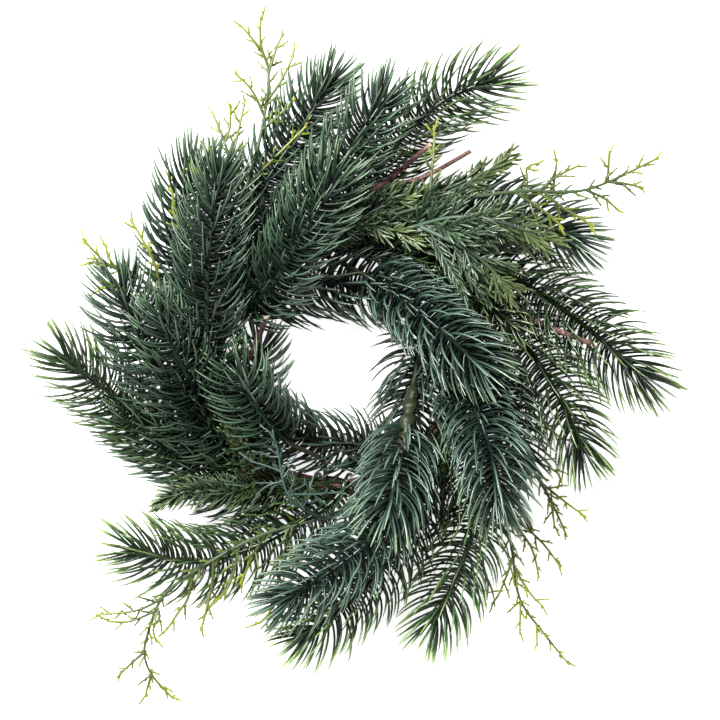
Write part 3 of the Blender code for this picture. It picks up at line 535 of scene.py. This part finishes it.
offset = add_node(barbs, "ShaderNodeVectorMath", {0: moves[0], 1: moves[1]}, operation="ADD")
offset = add_node(barbs, "ShaderNodeVectorMath", {0: offset, 1: moves[2]}, operation="ADD")
offset = add_node(barbs, "ShaderNodeVectorMath", {0: offset, "Scale": read["reach"]}, operation="SCALE")
spot = add_node(barbs, "ShaderNodeVectorMath", {0: read["root"], 1: offset}, operation="ADD")
x, y, z = add_node(barbs, "ShaderNodeSeparateXYZ", {0: spot}).outputs
z = add_node(barbs, "ShaderNodeMath", {0: z, 1: given["Floor"], 2: MM}, operation="SMOOTH_MAX")
spot = add_node(barbs, "ShaderNodeCombineXYZ", {"X": x, "Y": y, "Z": z})
barb = add_node(barbs, "GeometryNodeSetPosition", {"Geometry": barb, "Position": spot})

# Even width, and a blunt point at the very end
point = add_node(barbs, "ShaderNodeMath", {0: read["along"], 1: POINT_SHARPNESS}, operation="POWER")
point = add_node(barbs, "ShaderNodeMath", {0: point, 1: given["Taper"]}, operation="MULTIPLY")
point = add_node(barbs, "ShaderNodeMath", {0: 1.0, 1: point}, operation="SUBTRACT")
thick = add_node(barbs, "ShaderNodeMath", {0: point, 1: given["Width"]}, operation="MULTIPLY")
barb = add_node(barbs, "GeometryNodeStoreNamedAttribute",
                {"Geometry": barb, "Name": "thick", "Value": thick}, data_type="FLOAT")
add_node(barbs, "NodeGroupOutput", {0: barb})


# The spray's own tree: needles of five sides, a little flattened, on a round stem. A stem thicker
# than the stout girth is knobbly, like the one that shows beside the hole.
spray_tree, given = new_tree("fir_spray", [
    ("Stem", "Geometry", None), ("First", "Float", 0.2), ("Spacing", "Float", 0.00047),
    ("Turn", "Float", GOLDEN_ANGLE), ("Turn Spread", "Float", 0.2), ("Level", "Float", 0.25),
    ("Length", "Float", 0.026), ("Length Spread", "Float", 0.08), ("Tip Length", "Float", 0.75),
    ("Opening", "Float", 1.5), ("Sweep", "Float", 1.1), ("Closing", "Float", 0.62),
    ("Stray", "Float", 0.05), ("Width", "Float", 0.00067), ("Steps", "Int", 8), ("Sides", "Int", 5),
    ("Stem Step", "Float", 0.0011), ("Stout Girth", "Float", 0.00165), ("Knob Height", "Float", 0.007),
    ("Paler", "Float", 0.0), ("Paler To Tip", "Float", 0.3), ("Seed", "Int", 1),
    ("Material", "Material", None)])
needle_profile = add_node(spray_tree, "GeometryNodeCurvePrimitiveCircle",
                          {"Resolution": given["Sides"], "Radius": 1.0})
# How far each corner lies across the needle's outline, which places the painted highlight on the ribs
corner = add_node(spray_tree, "GeometryNodeInputPosition")
keel = add_node(spray_tree, "ShaderNodeSeparateXYZ", {0: corner}).outputs["Y"]
keel = add_node(spray_tree, "ShaderNodeMath", {0: keel}, operation="ABSOLUTE")
needle_profile = add_node(spray_tree, "GeometryNodeStoreNamedAttribute",
                          {"Geometry": needle_profile, "Name": "keel", "Value": keel}, data_type="FLOAT")
needle_profile = add_node(spray_tree, "GeometryNodeTransform",
                          {"Geometry": needle_profile, "Scale": (1, 0.7, 1)})
passed = {label: given[label] for label in
          ("Stem", "First", "Spacing", "Turn", "Turn Spread", "Level", "Length", "Length Spread",
           "Tip Length", "Opening", "Sweep", "Closing", "Stray", "Width", "Steps", "Seed")}
needles = add_node(spray_tree, "GeometryNodeGroup",
                   {**passed, "Shorter From": 0.85, "Closing From": 0.76}, node_tree=barbs)
needles = add_node(spray_tree, "GeometryNodeSetCurveNormal", {"Curve": needles}, mode="Z_UP")
thick = add_node(spray_tree, "GeometryNodeInputNamedAttribute", {"Name": "thick"}, data_type="FLOAT")
needles = add_node(spray_tree, "GeometryNodeCurveToMesh",
                   {"Curve": needles, "Profile Curve": needle_profile, "Scale": thick, "Fill Caps": True})
stem_profile = add_node(spray_tree, "GeometryNodeCurvePrimitiveCircle",
                        {"Resolution": 10, "Radius": 1.0})
factor = add_node(spray_tree, "GeometryNodeSplineParameter").outputs["Factor"]
radius = add_node(spray_tree, "GeometryNodeInputRadius")
stem = add_node(spray_tree, "GeometryNodeResampleCurve",
                {"Curve": given["Stem"], "Length": given["Stem Step"]}, mode="LENGTH")
for label, value in {"share": factor, "girth": radius, "along": 0.45}.items():
    stem = add_node(spray_tree, "GeometryNodeStoreNamedAttribute",
                    {"Geometry": stem, "Name": label, "Value": value}, data_type="FLOAT")
stem = add_node(spray_tree, "GeometryNodeCurveToMesh",
                {"Curve": stem, "Profile Curve": stem_profile, "Scale": radius, "Fill Caps": True})
girth = add_node(spray_tree, "GeometryNodeInputNamedAttribute", {"Name": "girth"}, data_type="FLOAT")
share = add_node(spray_tree, "GeometryNodeInputNamedAttribute", {"Name": "share"}, data_type="FLOAT")
wire = add_node(spray_tree, "FunctionNodeCompare", {0: share, 1: given["First"]}, operation="LESS_THAN")
stout = add_node(spray_tree, "FunctionNodeCompare", {0: girth, 1: given["Stout Girth"]},
                 operation="GREATER_THAN")
wire = add_node(spray_tree, "FunctionNodeBooleanMath", {0: wire, 1: stout}, operation="OR")
stem = add_node(spray_tree, "GeometryNodeStoreNamedAttribute",
                {"Geometry": stem, "Name": "wire", "Value": wire}, data_type="FLOAT")
knobs = add_node(spray_tree, "ShaderNodeTexNoise", {"Scale": 260.0, "Detail": 1.0})
knobs = add_node(spray_tree, "ShaderNodeMath", {0: knobs, 1: 0.5}, operation="SUBTRACT")
knobs = add_node(spray_tree, "ShaderNodeMath", {0: knobs, 1: given["Knob Height"]}, operation="MULTIPLY")
normal = add_node(spray_tree, "GeometryNodeInputNormal")
push = add_node(spray_tree, "ShaderNodeVectorMath", {0: normal, "Scale": knobs}, operation="SCALE")
stem = add_node(spray_tree, "GeometryNodeSetPosition",
                {"Geometry": stem, "Selection": stout, "Offset": push})
joined = add_node(spray_tree, "GeometryNodeJoinGeometry")
for part in (needles, stem):
    spray_tree.links.new(part.outputs[0], joined.inputs[0])
past_middle = add_node(spray_tree, "ShaderNodeMath", {0: share, 1: 0.5}, operation="SUBTRACT")
paler = add_node(spray_tree, "ShaderNodeMath",
                 {0: past_middle, 1: given["Paler To Tip"], 2: given["Paler"]}, operation="MULTIPLY_ADD")
whole = add_node(spray_tree, "GeometryNodeStoreNamedAttribute",
                 {"Geometry": joined, "Name": "paler", "Value": paler}, data_type="FLOAT")
whole = add_node(spray_tree, "GeometryNodeSetShadeSmooth", {"Geometry": whole})
whole = add_node(spray_tree, "GeometryNodeRealizeInstances", {"Geometry": whole})
whole = add_node(spray_tree, "GeometryNodeSetMaterial",
                 {"Geometry": whole, "Material": given["Material"]})
add_node(spray_tree, "NodeGroupOutput", {0: whole})


# Moulded polythene, coloured in the mass: a dull gloss from the mould, with each needle almost black at
# its foot as painted shade among the needles, paler to its point, and a painted highlight, pale and grey,
# along its ribs, with painted shade on its sides between them.
def moulded_polythene(name, root, middle, tip, young, stem, bloom, ageing="share", foot=0.0):
    """Polythene from five hex colours; young growth starts at foot and follows the ageing attribute."""
    made = bpy.data.materials.new(name)
    made.use_nodes = True
    tree = made.node_tree
    shader = tree.nodes["Principled BSDF"]
    along, chance, wire, share, keel, paler = [
        add_node(tree, "ShaderNodeAttribute", attribute_name=label).outputs["Fac"]
        for label in ("along", "tone", "wire", ageing, "keel", "paler")]
    # Place along the needle picks its colour, from the almost black foot, painted shade among the
    # needles, to the paler point
    shade = add_node(tree, "ShaderNodeMath", {0: chance, 1: 0.1, 2: along}, operation="MULTIPLY_ADD")
    colour = add_node(tree, "ShaderNodeValToRGB", {"Fac": shade})
    ramp = colour.color_ramp
    ramp.elements[0].position, ramp.elements[0].color = 0.0, linear(root)
    ramp.elements[1].position, ramp.elements[1].color = 1.0, linear(tip)
    ramp.elements.new(0.5).color = linear(middle)

    # Young growth: the points of the needles, most of all towards the end of the spray
    fresh_tip = add_node(tree, "ShaderNodeMapRange", {0: along, 1: 0.6, 2: 1.0, 3: foot})
    fresh_end = add_node(tree, "ShaderNodeMapRange", {0: share, 1: 0.6, 2: 1.0, 3: 0.1})
    fresh = add_node(tree, "ShaderNodeMath", {0: fresh_tip, 1: fresh_end}, operation="MULTIPLY")
    colour = add_node(tree, "ShaderNodeMix", {0: fresh, 6: colour, 7: linear(young)}, data_type="RGBA")

    # Each needle a little paler or darker than the next, and a painted highlight: a pale grey line along
    # each rib, with painted shade darkening the sides between the ribs
    usual = add_node(tree, "ShaderNodeMath", {0: paler, 1: 1.0}, operation="ADD")
    value = add_node(tree, "ShaderNodeMath", {0: chance, 1: 0.25, 2: usual}, operation="MULTIPLY_ADD")
    rib_highlight_and_shade = add_node(tree, "ShaderNodeMapRange", {0: keel, 1: 0.58, 2: 0.95, 3: 0.7, 4: 2.35})
    value = add_node(tree, "ShaderNodeMath", {0: value, 1: rib_highlight_and_shade}, operation="MULTIPLY")
    rib_highlight_greying = add_node(tree, "ShaderNodeMapRange", {0: keel, 1: 0.58, 2: 0.95, 3: 1.1, 4: 0.62})
    colour = add_node(tree, "ShaderNodeHueSaturation",
                      {"Color": colour.outputs[2], "Saturation": rib_highlight_greying, "Value": value})

    # Bare stems in their own colour, and duller
    colour = add_node(tree, "ShaderNodeMix", {0: wire, 6: colour, 7: linear(stem)}, data_type="RGBA")
    tree.links.new(colour.outputs[2], shader.inputs["Base Color"])
    dull = add_node(tree, "ShaderNodeMapRange", {0: wire, 1: 0.0, 2: 1.0, 3: 0.27, 4: 0.5})
    tree.links.new(dull.outputs[0], shader.inputs["Roughness"])
    shader.inputs["IOR"].default_value = 1.5
    shader.inputs["Specular IOR Level"].default_value = 0.42
    shader.inputs["Sheen Weight"].default_value = bloom
    shader.inputs["Sheen Roughness"].default_value = 0.4
    shader.inputs["Sheen Tint"].default_value = linear("ccd8d4")
    return made


# Deep green is almost black at the foot, blue has a faint bloom, fresh has yellow-green points, and
# olive is dull; the near-black foot of each is painted shade among the needles. Each: its slot, then the
# colours of a needle's foot, middle and point, of young growth and of the bare stem, and how strong its
# bloom is.
FIR_COLOURS = {
    "deep": ("deep_fir_foliage", "080f09", "1f3524", "3a523f", "5e7650", "3a3524", 0.0),
    "blue": ("blue_fir_foliage", "08120c", "263d31", "4d685c", "6e8058", "272f18", 0.01),
    "fresh": ("fresh_fir_foliage", "081205", "1a3410", "33501f", "86a448", "3a3524", 0.0),
    "olive": ("olive_foliage", "141e0c", "2e3e24", "4a5c36", "7c8c54", "3a3524", 0.0),
}
FIR_FINISHES = {colour: (slot, moulded_polythene("moulded_polythene_" + colour, *shades))
                for colour, (slot, *shades) in FIR_COLOURS.items()}

# Spacing and half width of the needles, and what their curve adds to their length
NEEDLE_FORMS = {"fresh": (0.45, 0.57), "deep": (0.4, 0.66), "blue": (0.35, 0.67), "olive": (0.42, 0.67)}
CURVE_LENGTH = 1

# How much paler than its finish each spray is; a value below nought makes it darker
PALER = {
    "fir_left_outer": -0.35, "fir_right_outer": -0.35, "fir_right_olive": -0.35,
    "fir_fringe_right": -0.3, "fir_left_second": -0.25, "fir_left_middle": -0.2,
    "fir_fringe_bottom": -0.2, "fir_right_lower": -0.2, "fir_top_right": -0.2,
    "fir_right_front": -0.15, "fir_right_back": -0.15, "fir_bottom_front": -0.12,
    "fir_inner_right": -0.12, "fir_left_front": -0.1, "fir_bottom_right": 0.15, "fir_left_low": 0.15,
    "fir_inner_left": 0.2, "fir_bottom_outer": 0.2,
}

# The stout length of the lower front spray's stem, between two distances from the middle in Y
STOUT_RADIUS = 2.9
STOUT_FROM = -14.0
STOUT_TO = -43.0
SLIM_RADIUS = 1.2
for order, (name, row) in enumerate(FIR_SPRAYS.items()):
    angle, side, colour, length, bare, points = row
    route, radii, first = stem_route(angle, side, points, bare, STEM_RADIUS, STEM_TIP_RADIUS)
    if name == "fir_lower_front":
        radii = [STOUT_RADIUS if STOUT_FROM > point[1] > STOUT_TO else min(radius, SLIM_RADIUS)
                 for point, radius in zip(route, radii)]
    slot, finish = FIR_FINISHES[colour]
    spacing, half_width = NEEDLE_FORMS[colour]
    spray = grow(name + "_dressed", spray_tree, [(route, radii)],
                 {"First": first, "Length": (length + CURVE_LENGTH) * MM, "Spacing": spacing * MM,
                  "Width": half_width * MM, "Paler": PALER.get(name, 0.0), "Seed": order,
                  "Material": finish})
    dress(spray)


# Juniper: one dense spray of short olive needles all round its stem, closed to a brown bud at its
# tip. Moulded polythene on a wired stem, hooked over the ring like the fir.
JUNIPER_ANGLE = 257
JUNIPER_STEM = [(-24, -62, 15), (-55, -61, 22), (-78, -62, 21), (-89, -67, 18)]
BUD_RADII = (1.7, 1.9, 1.3)
route, radii, first = stem_route(JUNIPER_ANGLE, "outward", JUNIPER_STEM, None,
                                 STEM_RADIUS, STEM_TIP_RADIUS)
slot, finish = FIR_FINISHES["olive"]
radii = [*radii[:-len(BUD_RADII)], *BUD_RADII]
juniper = grow("juniper_left_dressed", spray_tree, [(route, radii)],
               {"First": first, "Length": 0.0105, "Length Spread": 0.16, "Spacing": 0.0003,
                "Opening": 1.2, "Sweep": 0.45, "Closing": 0.8, "Width": 0.00052, "Steps": 5,
                "Seed": 50, "Material": finish})
dress(juniper)


# Fern cypress: four flat fronds of side twigs with small pointed leaves, moulded in polythene on
# wired stems that are hooked over the ring. The small one at the lower left is olive.
FERN_RADII = (1.1, 0.6)

# Each frond: hook angle, stem points, then its further main branches
FERNS = {
    "fern_cypress_right": (69, [(21, 57, 24), (44, 63, 40), (66, 61, 42), (85, 53, 38)],
                           [[(30, 59, 33), (42, 53, 39), (56, 45, 40), (68, 33, 38)]]),
    "fern_cypress_top": (97, [(-8, 62, 19), (20, 67, 26), (45, 76, 27), (68, 89, 24)], []),
    "fern_cypress_left": (243, [(-40, -55, 22), (-48, -47, 33), (-57, -33, 37)], []),
    "curly_cypress_top": (121, [(-20, 54, 20), (5, 60, 28), (27, 54, 31)],
                          [[(-6, 58, 25), (12, 68, 30), (24, 72, 31)]]),
}

# Their tree, which the open sprigs share: a stem whose side twigs stand left and right in one plane,
# each with its own leaves
branched, given = new_tree("branched_foliage", [
    ("Stem", "Geometry", None), ("First", "Float", 0.2), ("Fork First", "Float", 0.12),
    ("Branch Spacing", "Float", 0.0045), ("Branch Spread", "Float", 0.3),
    ("Branch Length", "Float", 0.026), ("Branch Tip", "Float", 0.4), ("Branch Opening", "Float", 0.72),
    ("Branch Sweep", "Float", 0.2), ("Branch Width", "Float", 0.0007), ("Branch Variety", "Float", 0.2),
    ("Leaf Spacing", "Float", 0.0016), ("Leaf Length", "Float", 0.0055), ("Leaf Opening", "Float", 0.62),
    ("Leaf Sweep", "Float", 0.25), ("Leaf Width", "Float", 0.00062), ("Flatness", "Float", 0.5),
    ("Young", "Float", 0.0), ("Seed", "Int", 1), ("Material", "Material", None)])

# The first strand is the main stem, bare up to First; a fork is bare up to Fork First
number = add_node(branched, "GeometryNodeInputIndex")
main = add_node(branched, "ShaderNodeMath", {0: number, 1: 0.0, 2: 0.5}, operation="COMPARE")
stems = add_node(branched, "GeometryNodeStoreNamedAttribute",
                 {"Geometry": given["Stem"], "Name": "main", "Value": main},
                 data_type="FLOAT", domain="CURVE")
extra = add_node(branched, "ShaderNodeMath", {0: given["First"], 1: given["Fork First"]},
                 operation="SUBTRACT")
start = add_node(branched, "ShaderNodeMath", {0: main, 1: extra, 2: given["Fork First"]},
                 operation="MULTIPLY_ADD")

# Side twigs, left and right in turn, which are young from the share given as Young
side_twigs = add_node(branched, "GeometryNodeGroup",
                      {"Stem": stems, "First": start, "Spacing": given["Branch Spacing"],
                       "Turn": math.pi, "Turn Spread": given["Branch Spread"],
                       "Length": given["Branch Length"], "Length Spread": given["Branch Variety"],
                       "Tip Length": given["Branch Tip"], "Opening": given["Branch Opening"],
                       "Sweep": given["Branch Sweep"], "Closing": 0.5, "Stray": 0.06,
                       "Width": given["Branch Width"], "Taper": 0.4, "Steps": 9, "Floor": 0.0015,
                       "Seed": given["Seed"]}, node_tree=barbs)
old_part = add_node(branched, "ShaderNodeMath", {0: 1.0, 1: given["Young"]}, operation="SUBTRACT")
placed = add_node(branched, "GeometryNodeInputNamedAttribute", {"Name": "share"}, data_type="FLOAT")
placed = add_node(branched, "ShaderNodeMath", {0: placed, 1: old_part, 2: given["Young"]},
                  operation="MULTIPLY_ADD")
side_twigs = add_node(branched, "GeometryNodeStoreNamedAttribute",
                      {"Geometry": side_twigs, "Name": "place", "Value": placed}, data_type="FLOAT")

# Leaves, left and right along every side twig
leaves = add_node(branched, "GeometryNodeGroup",
                  {"Stem": side_twigs, "First": 0.08, "Spacing": given["Leaf Spacing"],
                   "Turn": math.pi, "Turn Spread": 0.35, "Length": given["Leaf Length"],
                   "Length Spread": 0.25, "Tip Length": 0.7, "Opening": given["Leaf Opening"],
                   "Sweep": given["Leaf Sweep"], "Closing": 0.7, "Stray": 0.1,
                   "Width": given["Leaf Width"], "Steps": 4, "Floor": 0.001,
                   "Seed": given["Seed"]}, node_tree=barbs)

# Twigs and leaves get a flat outline and the stems a round one, which ages from hard to young
outline = add_node(branched, "GeometryNodeCurvePrimitiveCircle", {"Resolution": 5, "Radius": 1.0})
squash = add_node(branched, "ShaderNodeCombineXYZ", {"X": 1.0, "Y": given["Flatness"], "Z": 1.0})
outline = add_node(branched, "GeometryNodeTransform", {"Geometry": outline, "Scale": squash})
round_outline = add_node(branched, "GeometryNodeCurvePrimitiveCircle", {"Resolution": 8, "Radius": 1.0})
thick = add_node(branched, "GeometryNodeInputNamedAttribute", {"Name": "thick"}, data_type="FLOAT")
radius = add_node(branched, "GeometryNodeInputRadius")
on_main = add_node(branched, "GeometryNodeInputNamedAttribute", {"Name": "main"}, data_type="FLOAT")
factor = add_node(branched, "GeometryNodeSplineParameter").outputs["Factor"]
late = add_node(branched, "ShaderNodeMath", {0: factor, 1: 4.0}, operation="POWER")
early = add_node(branched, "ShaderNodeMath", {0: factor, 1: old_part, 2: given["Young"]},
                 operation="MULTIPLY_ADD")
young = add_node(branched, "ShaderNodeMix", {0: on_main, 2: early, 3: late}, data_type="FLOAT")
hard = add_node(branched, "ShaderNodeMath", {0: 1.0, 1: young}, operation="SUBTRACT")
stem = stems
for label, value in {"share": factor, "wire": hard, "place": young, "along": 0.5}.items():
    stem = add_node(branched, "GeometryNodeStoreNamedAttribute",
                    {"Geometry": stem, "Name": label, "Value": value}, data_type="FLOAT")
joined = add_node(branched, "GeometryNodeJoinGeometry")
for curve, profile, width in ((side_twigs, outline, thick), (leaves, outline, thick),
                              (stem, round_outline, radius)):
    level = add_node(branched, "GeometryNodeSetCurveNormal", {"Curve": curve}, mode="Z_UP")
    part = add_node(branched, "GeometryNodeCurveToMesh",
                    {"Curve": level, "Profile Curve": profile, "Scale": width, "Fill Caps": True})
    branched.links.new(part.outputs[0], joined.inputs[0])
whole = add_node(branched, "GeometryNodeSetShadeSmooth", {"Geometry": joined})
whole = add_node(branched, "GeometryNodeRealizeInstances", {"Geometry": whole})
whole = add_node(branched, "GeometryNodeSetMaterial", {"Geometry": whole, "Material": given["Material"]})
add_node(branched, "NodeGroupOutput", {0: whole})

# Grey-green with a visible bloom, almost black at the foot of each leaf as painted shade, and yellowish
# at the ends of its side twigs
fern_finish = moulded_polythene("moulded_polythene_fern", "161f17", "3c5440", "72886a", "9ca866",
                                "4e6454", 0.08, "place", 0.3)

# Side twigs of each: length, spacing, opening and spread, then leaf length and finish
FERN_FORMS = {
    "fern_cypress_right": (26, 3.0, 0.72, 0.6, 7.5, fern_finish),
    "fern_cypress_top": (21, 2.4, 0.5, 0.5, 7.5, fern_finish),
    "fern_cypress_left": (14, 1.6, 0.75, 0.9, 4.5, FIR_FINISHES["olive"][1]),
    "curly_cypress_top": (14, 2.5, 0.72, 1.2, 7.5, fern_finish),
}
for order, (name, (angle, points, forks)) in enumerate(FERNS.items()):
    route, radii, first = stem_route(angle, "outward", points, None, *FERN_RADII)
    strands = [(route, radii)]
    for fork in forks:
        limb = smooth_route(fork, STEM_STEP)
        strands.append((limb, np.linspace(*FERN_RADII, len(limb))))
    length, spacing, opening, spread, leaf, finish = FERN_FORMS[name]
    spray = grow(name + "_dressed", branched, strands,
                 {"First": first, "Branch Length": length * MM, "Branch Spacing": spacing * MM,
                  "Branch Opening": opening, "Branch Spread": spread, "Branch Tip": 0.3,
                  "Branch Variety": 0.45, "Leaf Spacing": 0.0018, "Leaf Length": leaf * MM,
                  "Leaf Opening": 0.5, "Leaf Width": 0.0007, "Seed": 60 + order, "Material": finish})
    dress(spray)


# Open cypress sprigs: thin forked stems with short antler-like shoots, grey-green at the foot and
# yellow-green at the tips, moulded in one piece with the stem. The one in front is dark teal.
SPRIG_RADII = (1.0, 0.62)
LIMB_RADII = (0.8, 0.6)

# Girth, the share of the stem from which side shoots stand, and how young the forks are at their foot
USUAL_FORM = (0.9, 0.66, 0.6)
SPRIG_FORMS = {
    "cypress_right": (0.9, 0.66, 0.4),
    "cypress_lower_right": (0.75, 0.66, 0.86),
    "cypress_bottom_right": (0.75, 0.5, 0.86),
    "cypress_bottom_left": (0.85, 0.3, 0.5),
    "cypress_front": (0.6, 0.35, 0.3),
}

# Each sprig: hook angle, colour, stem points, then its forks
CYPRESS_SPRIGS = {
    "cypress_top": (135, "cypress",
        [(-51, 47, 17), (-49, 76, 24), (-42, 106, 20), (-40, 134, 16), (-52, 152, 14)],
        [[(-40, 134, 16), (-43, 144, 16), (-43, 156, 17)],
         [(-41, 117, 18), (-34, 126, 17), (-28, 138, 16)],
         [(-40, 130, 16), (-36, 141, 16), (-33, 148, 16)],
         [(-42, 110, 19), (-47, 122, 20), (-55, 130, 20)],
         [(-42, 104, 20), (-34, 111, 20), (-27, 119, 20)],
         [(-49, 78, 24), (-36, 91, 27), (-22, 105, 27)]]),
    "cypress_top_left": (158, "cypress",
        [(-64, 32, 19), (-61, 60, 24), (-57, 88, 20), (-65, 112, 16)],
        [[(-57, 88, 20), (-53, 104, 19), (-50, 118, 18)],
         [(-59, 97, 18), (-57, 106, 17), (-57, 116, 17)],
         [(-74, 45, 22), (-81, 62, 22), (-83, 74, 22), (-85, 84, 22)],
         [(-60, 84, 20), (-66, 92, 19), (-70, 99, 18)],
         [(-60, 74, 22), (-69, 82, 21), (-76, 91, 20)]]),
    "cypress_left": (206, "cypress",
        [(-72, -18, 11), (-86, 14, 12), (-96, 34, 20), (-112, 42, 27), (-124, 54, 27)],
        [[(-89, 22, 14), (-89, 34, 24), (-92, 45, 29), (-98, 56, 29), (-102, 63, 28)],
         [(-108, 40, 25), (-112, 45, 27), (-113, 50, 27)], [(-113, 42, 27), (-121, 43, 27)],
         [(-100, 37, 22), (-108, 33, 24), (-116, 31, 25)]]),
    "cypress_right": (83, "cypress",
        [(9, 61, 20), (31, 68, 36), (73, 75, 34), (105, 76, 28), (139, 91, 22)],
        [[(105, 76, 28), (114, 72, 27), (121, 66, 26)],
         [(73, 75, 34), (78, 81, 33), (78, 86, 33), (84, 88, 33)],
         [(83, 76, 33), (92, 82, 32), (102, 87, 31)], [(91, 82, 32), (92, 90, 32)],
         [(115, 80, 27), (116, 94, 27)], [(115, 80, 27), (123, 79, 26), (132, 77, 24)],
         [(72, 74, 34), (80, 70, 33), (89, 64, 32), (95, 58, 31)],
         [(85, 75, 33), (94, 68, 32), (101, 64, 31), (109, 59, 30)],
         [(34, 70, 36), (36, 94, 34), (36, 105, 33)]]),
    "cypress_lower_right": (347, "cypress",
        [(55, -24, 12), (71, -37, 12), (88, -62, 9), (98, -83, 8)],
        [[(74, -42, 11), (82, -47, 10), (93, -53, 9), (95, -58, 9)],
         [(86, -57, 10), (96, -66, 9), (107, -74, 9)], [(92, -66, 9), (92, -78, 9)],
         [(68, -34, 12), (74, -20, 12), (77, -8, 12)],
         [(74, -40, 11), (85, -32, 11), (96, -38, 11)]]),
    "cypress_bottom_right": (339, "cypress",
        [(54, -35, 10), (66, -61, 8), (72, -86, 8), (76, -111, 8), (87, -127, 8), (99, -142, 8)],
        [[(74, -98, 8), (81, -109, 9), (87, -115, 9)], [(72, -94, 8), (67, -108, 9), (63, -114, 9)],
         [(77, -113, 8), (76, -128, 9)], [(70, -72, 8), (81, -87, 8), (85, -102, 8)],
         [(72, -70, 8), (85, -84, 9), (95, -97, 9)], [(84, -123, 8), (84, -133, 9)]]),
    "cypress_bottom_left": (281, "cypress",
        [(-10, -72, 19), (-42, -81, 27), (-67, -94, 27), (-87, -109, 22), (-95, -128, 18),
         (-96, -138, 17), (-92, -147, 16), (-83, -157, 14)],
        [[(-89, -111, 22), (-100, -116, 20), (-118, -118, 18)],
         [(-90, -117, 21), (-103, -121, 19), (-113, -121, 19)],
         [(-73, -98, 26), (-76, -110, 25), (-80, -116, 25), (-86, -125, 24)],
         [(-64, -93, 27), (-65, -104, 26), (-67, -113, 25), (-70, -125, 24)],
         [(-89, -114, 22), (-89, -119, 22), (-92, -124, 21), (-91, -129, 21)],
         [(-96, -136, 17), (-103, -141, 17), (-109, -147, 17)],
         [(-94, -145, 16), (-95, -152, 16), (-96, -156, 16)],
         [(-28, -78, 24), (-37, -110, 24), (-39, -117, 23), (-44, -122, 22)],
         [(-52, -87, 27), (-55, -98, 26), (-59, -107, 25), (-67, -115, 24)],
         [(-40, -80, 26), (-47, -92, 25), (-52, -104, 24)]]),
    "cypress_front": (289, "teal",
        [(2, -66, 18), (-14, -73, 27), (-30, -62, 42), (-35, -40, 44), (-39, -33, 44)],
        [[(-34, -52, 44), (-40, -49, 43), (-47, -47, 42)],
         [(-34, -56, 44), (-39, -58, 43), (-44, -62, 42)],
         [(-34, -53, 44), (-31, -49, 44), (-28, -47, 44)],
         [(-30, -62, 43), (-28, -58, 44), (-27, -54, 44)],
         [(-34, -45, 44), (-38, -45, 43), (-42, -43, 43)],
         [(-31, -62, 43), (-20, -62, 42), (-6, -61, 42)],
         [(-22, -70, 40), (-20, -62, 42), (-20, -56, 42)]]),
}

# The tipped finish fades from grey-green to yellow along each fork; the teal one only pales
tipped = moulded_polythene("moulded_polythene_tipped", "3c4a30", "56683c", "8aa044", "bac252", "47583e",
                           0.03, "place", 0.7)
teal = moulded_polythene("moulded_polythene_teal", "24362f", "3a524a", "587268", "7c9288", "4a645a",
                         0.04, "place", 0.4)
SPRIG_FINISHES = {"cypress": ("tipped_cypress_foliage", tipped), "teal": ("teal_cypress_foliage", teal)}
for order, (name, (angle, colour, points, forks)) in enumerate(CYPRESS_SPRIGS.items()):
    girth, shoots_from, young = SPRIG_FORMS.get(name, USUAL_FORM)
    radius, tip_radius = SPRIG_RADII
    route, radii, first = stem_route(angle, "outward", points, 1, radius * girth, tip_radius * girth)
    strands = [(route, radii)]
    for fork in forks:
        foot = route[nearest(route, fork[0])]
        limb = smooth_route([foot, *fork[1:]], STEM_STEP)
        strands.append((limb, girth * np.linspace(*LIMB_RADII, len(limb))))
    slot, finish = SPRIG_FINISHES[colour]
    sprig = grow(name + "_dressed", branched, strands,
                 {"First": shoots_from, "Fork First": 0.2, "Young": young, "Branch Spacing": 0.0042,
                  "Branch Spread": 0.6, "Branch Length": 0.006, "Branch Tip": 0.7,
                  "Branch Opening": 0.8, "Branch Width": 0.00062 * girth, "Branch Variety": 0.45,
                  "Leaf Spacing": 0.0026, "Leaf Length": 0.0023, "Leaf Width": 0.0005 * girth,
                  "Flatness": 0.8, "Seed": 80 + order, "Material": finish})
    dress(sprig)
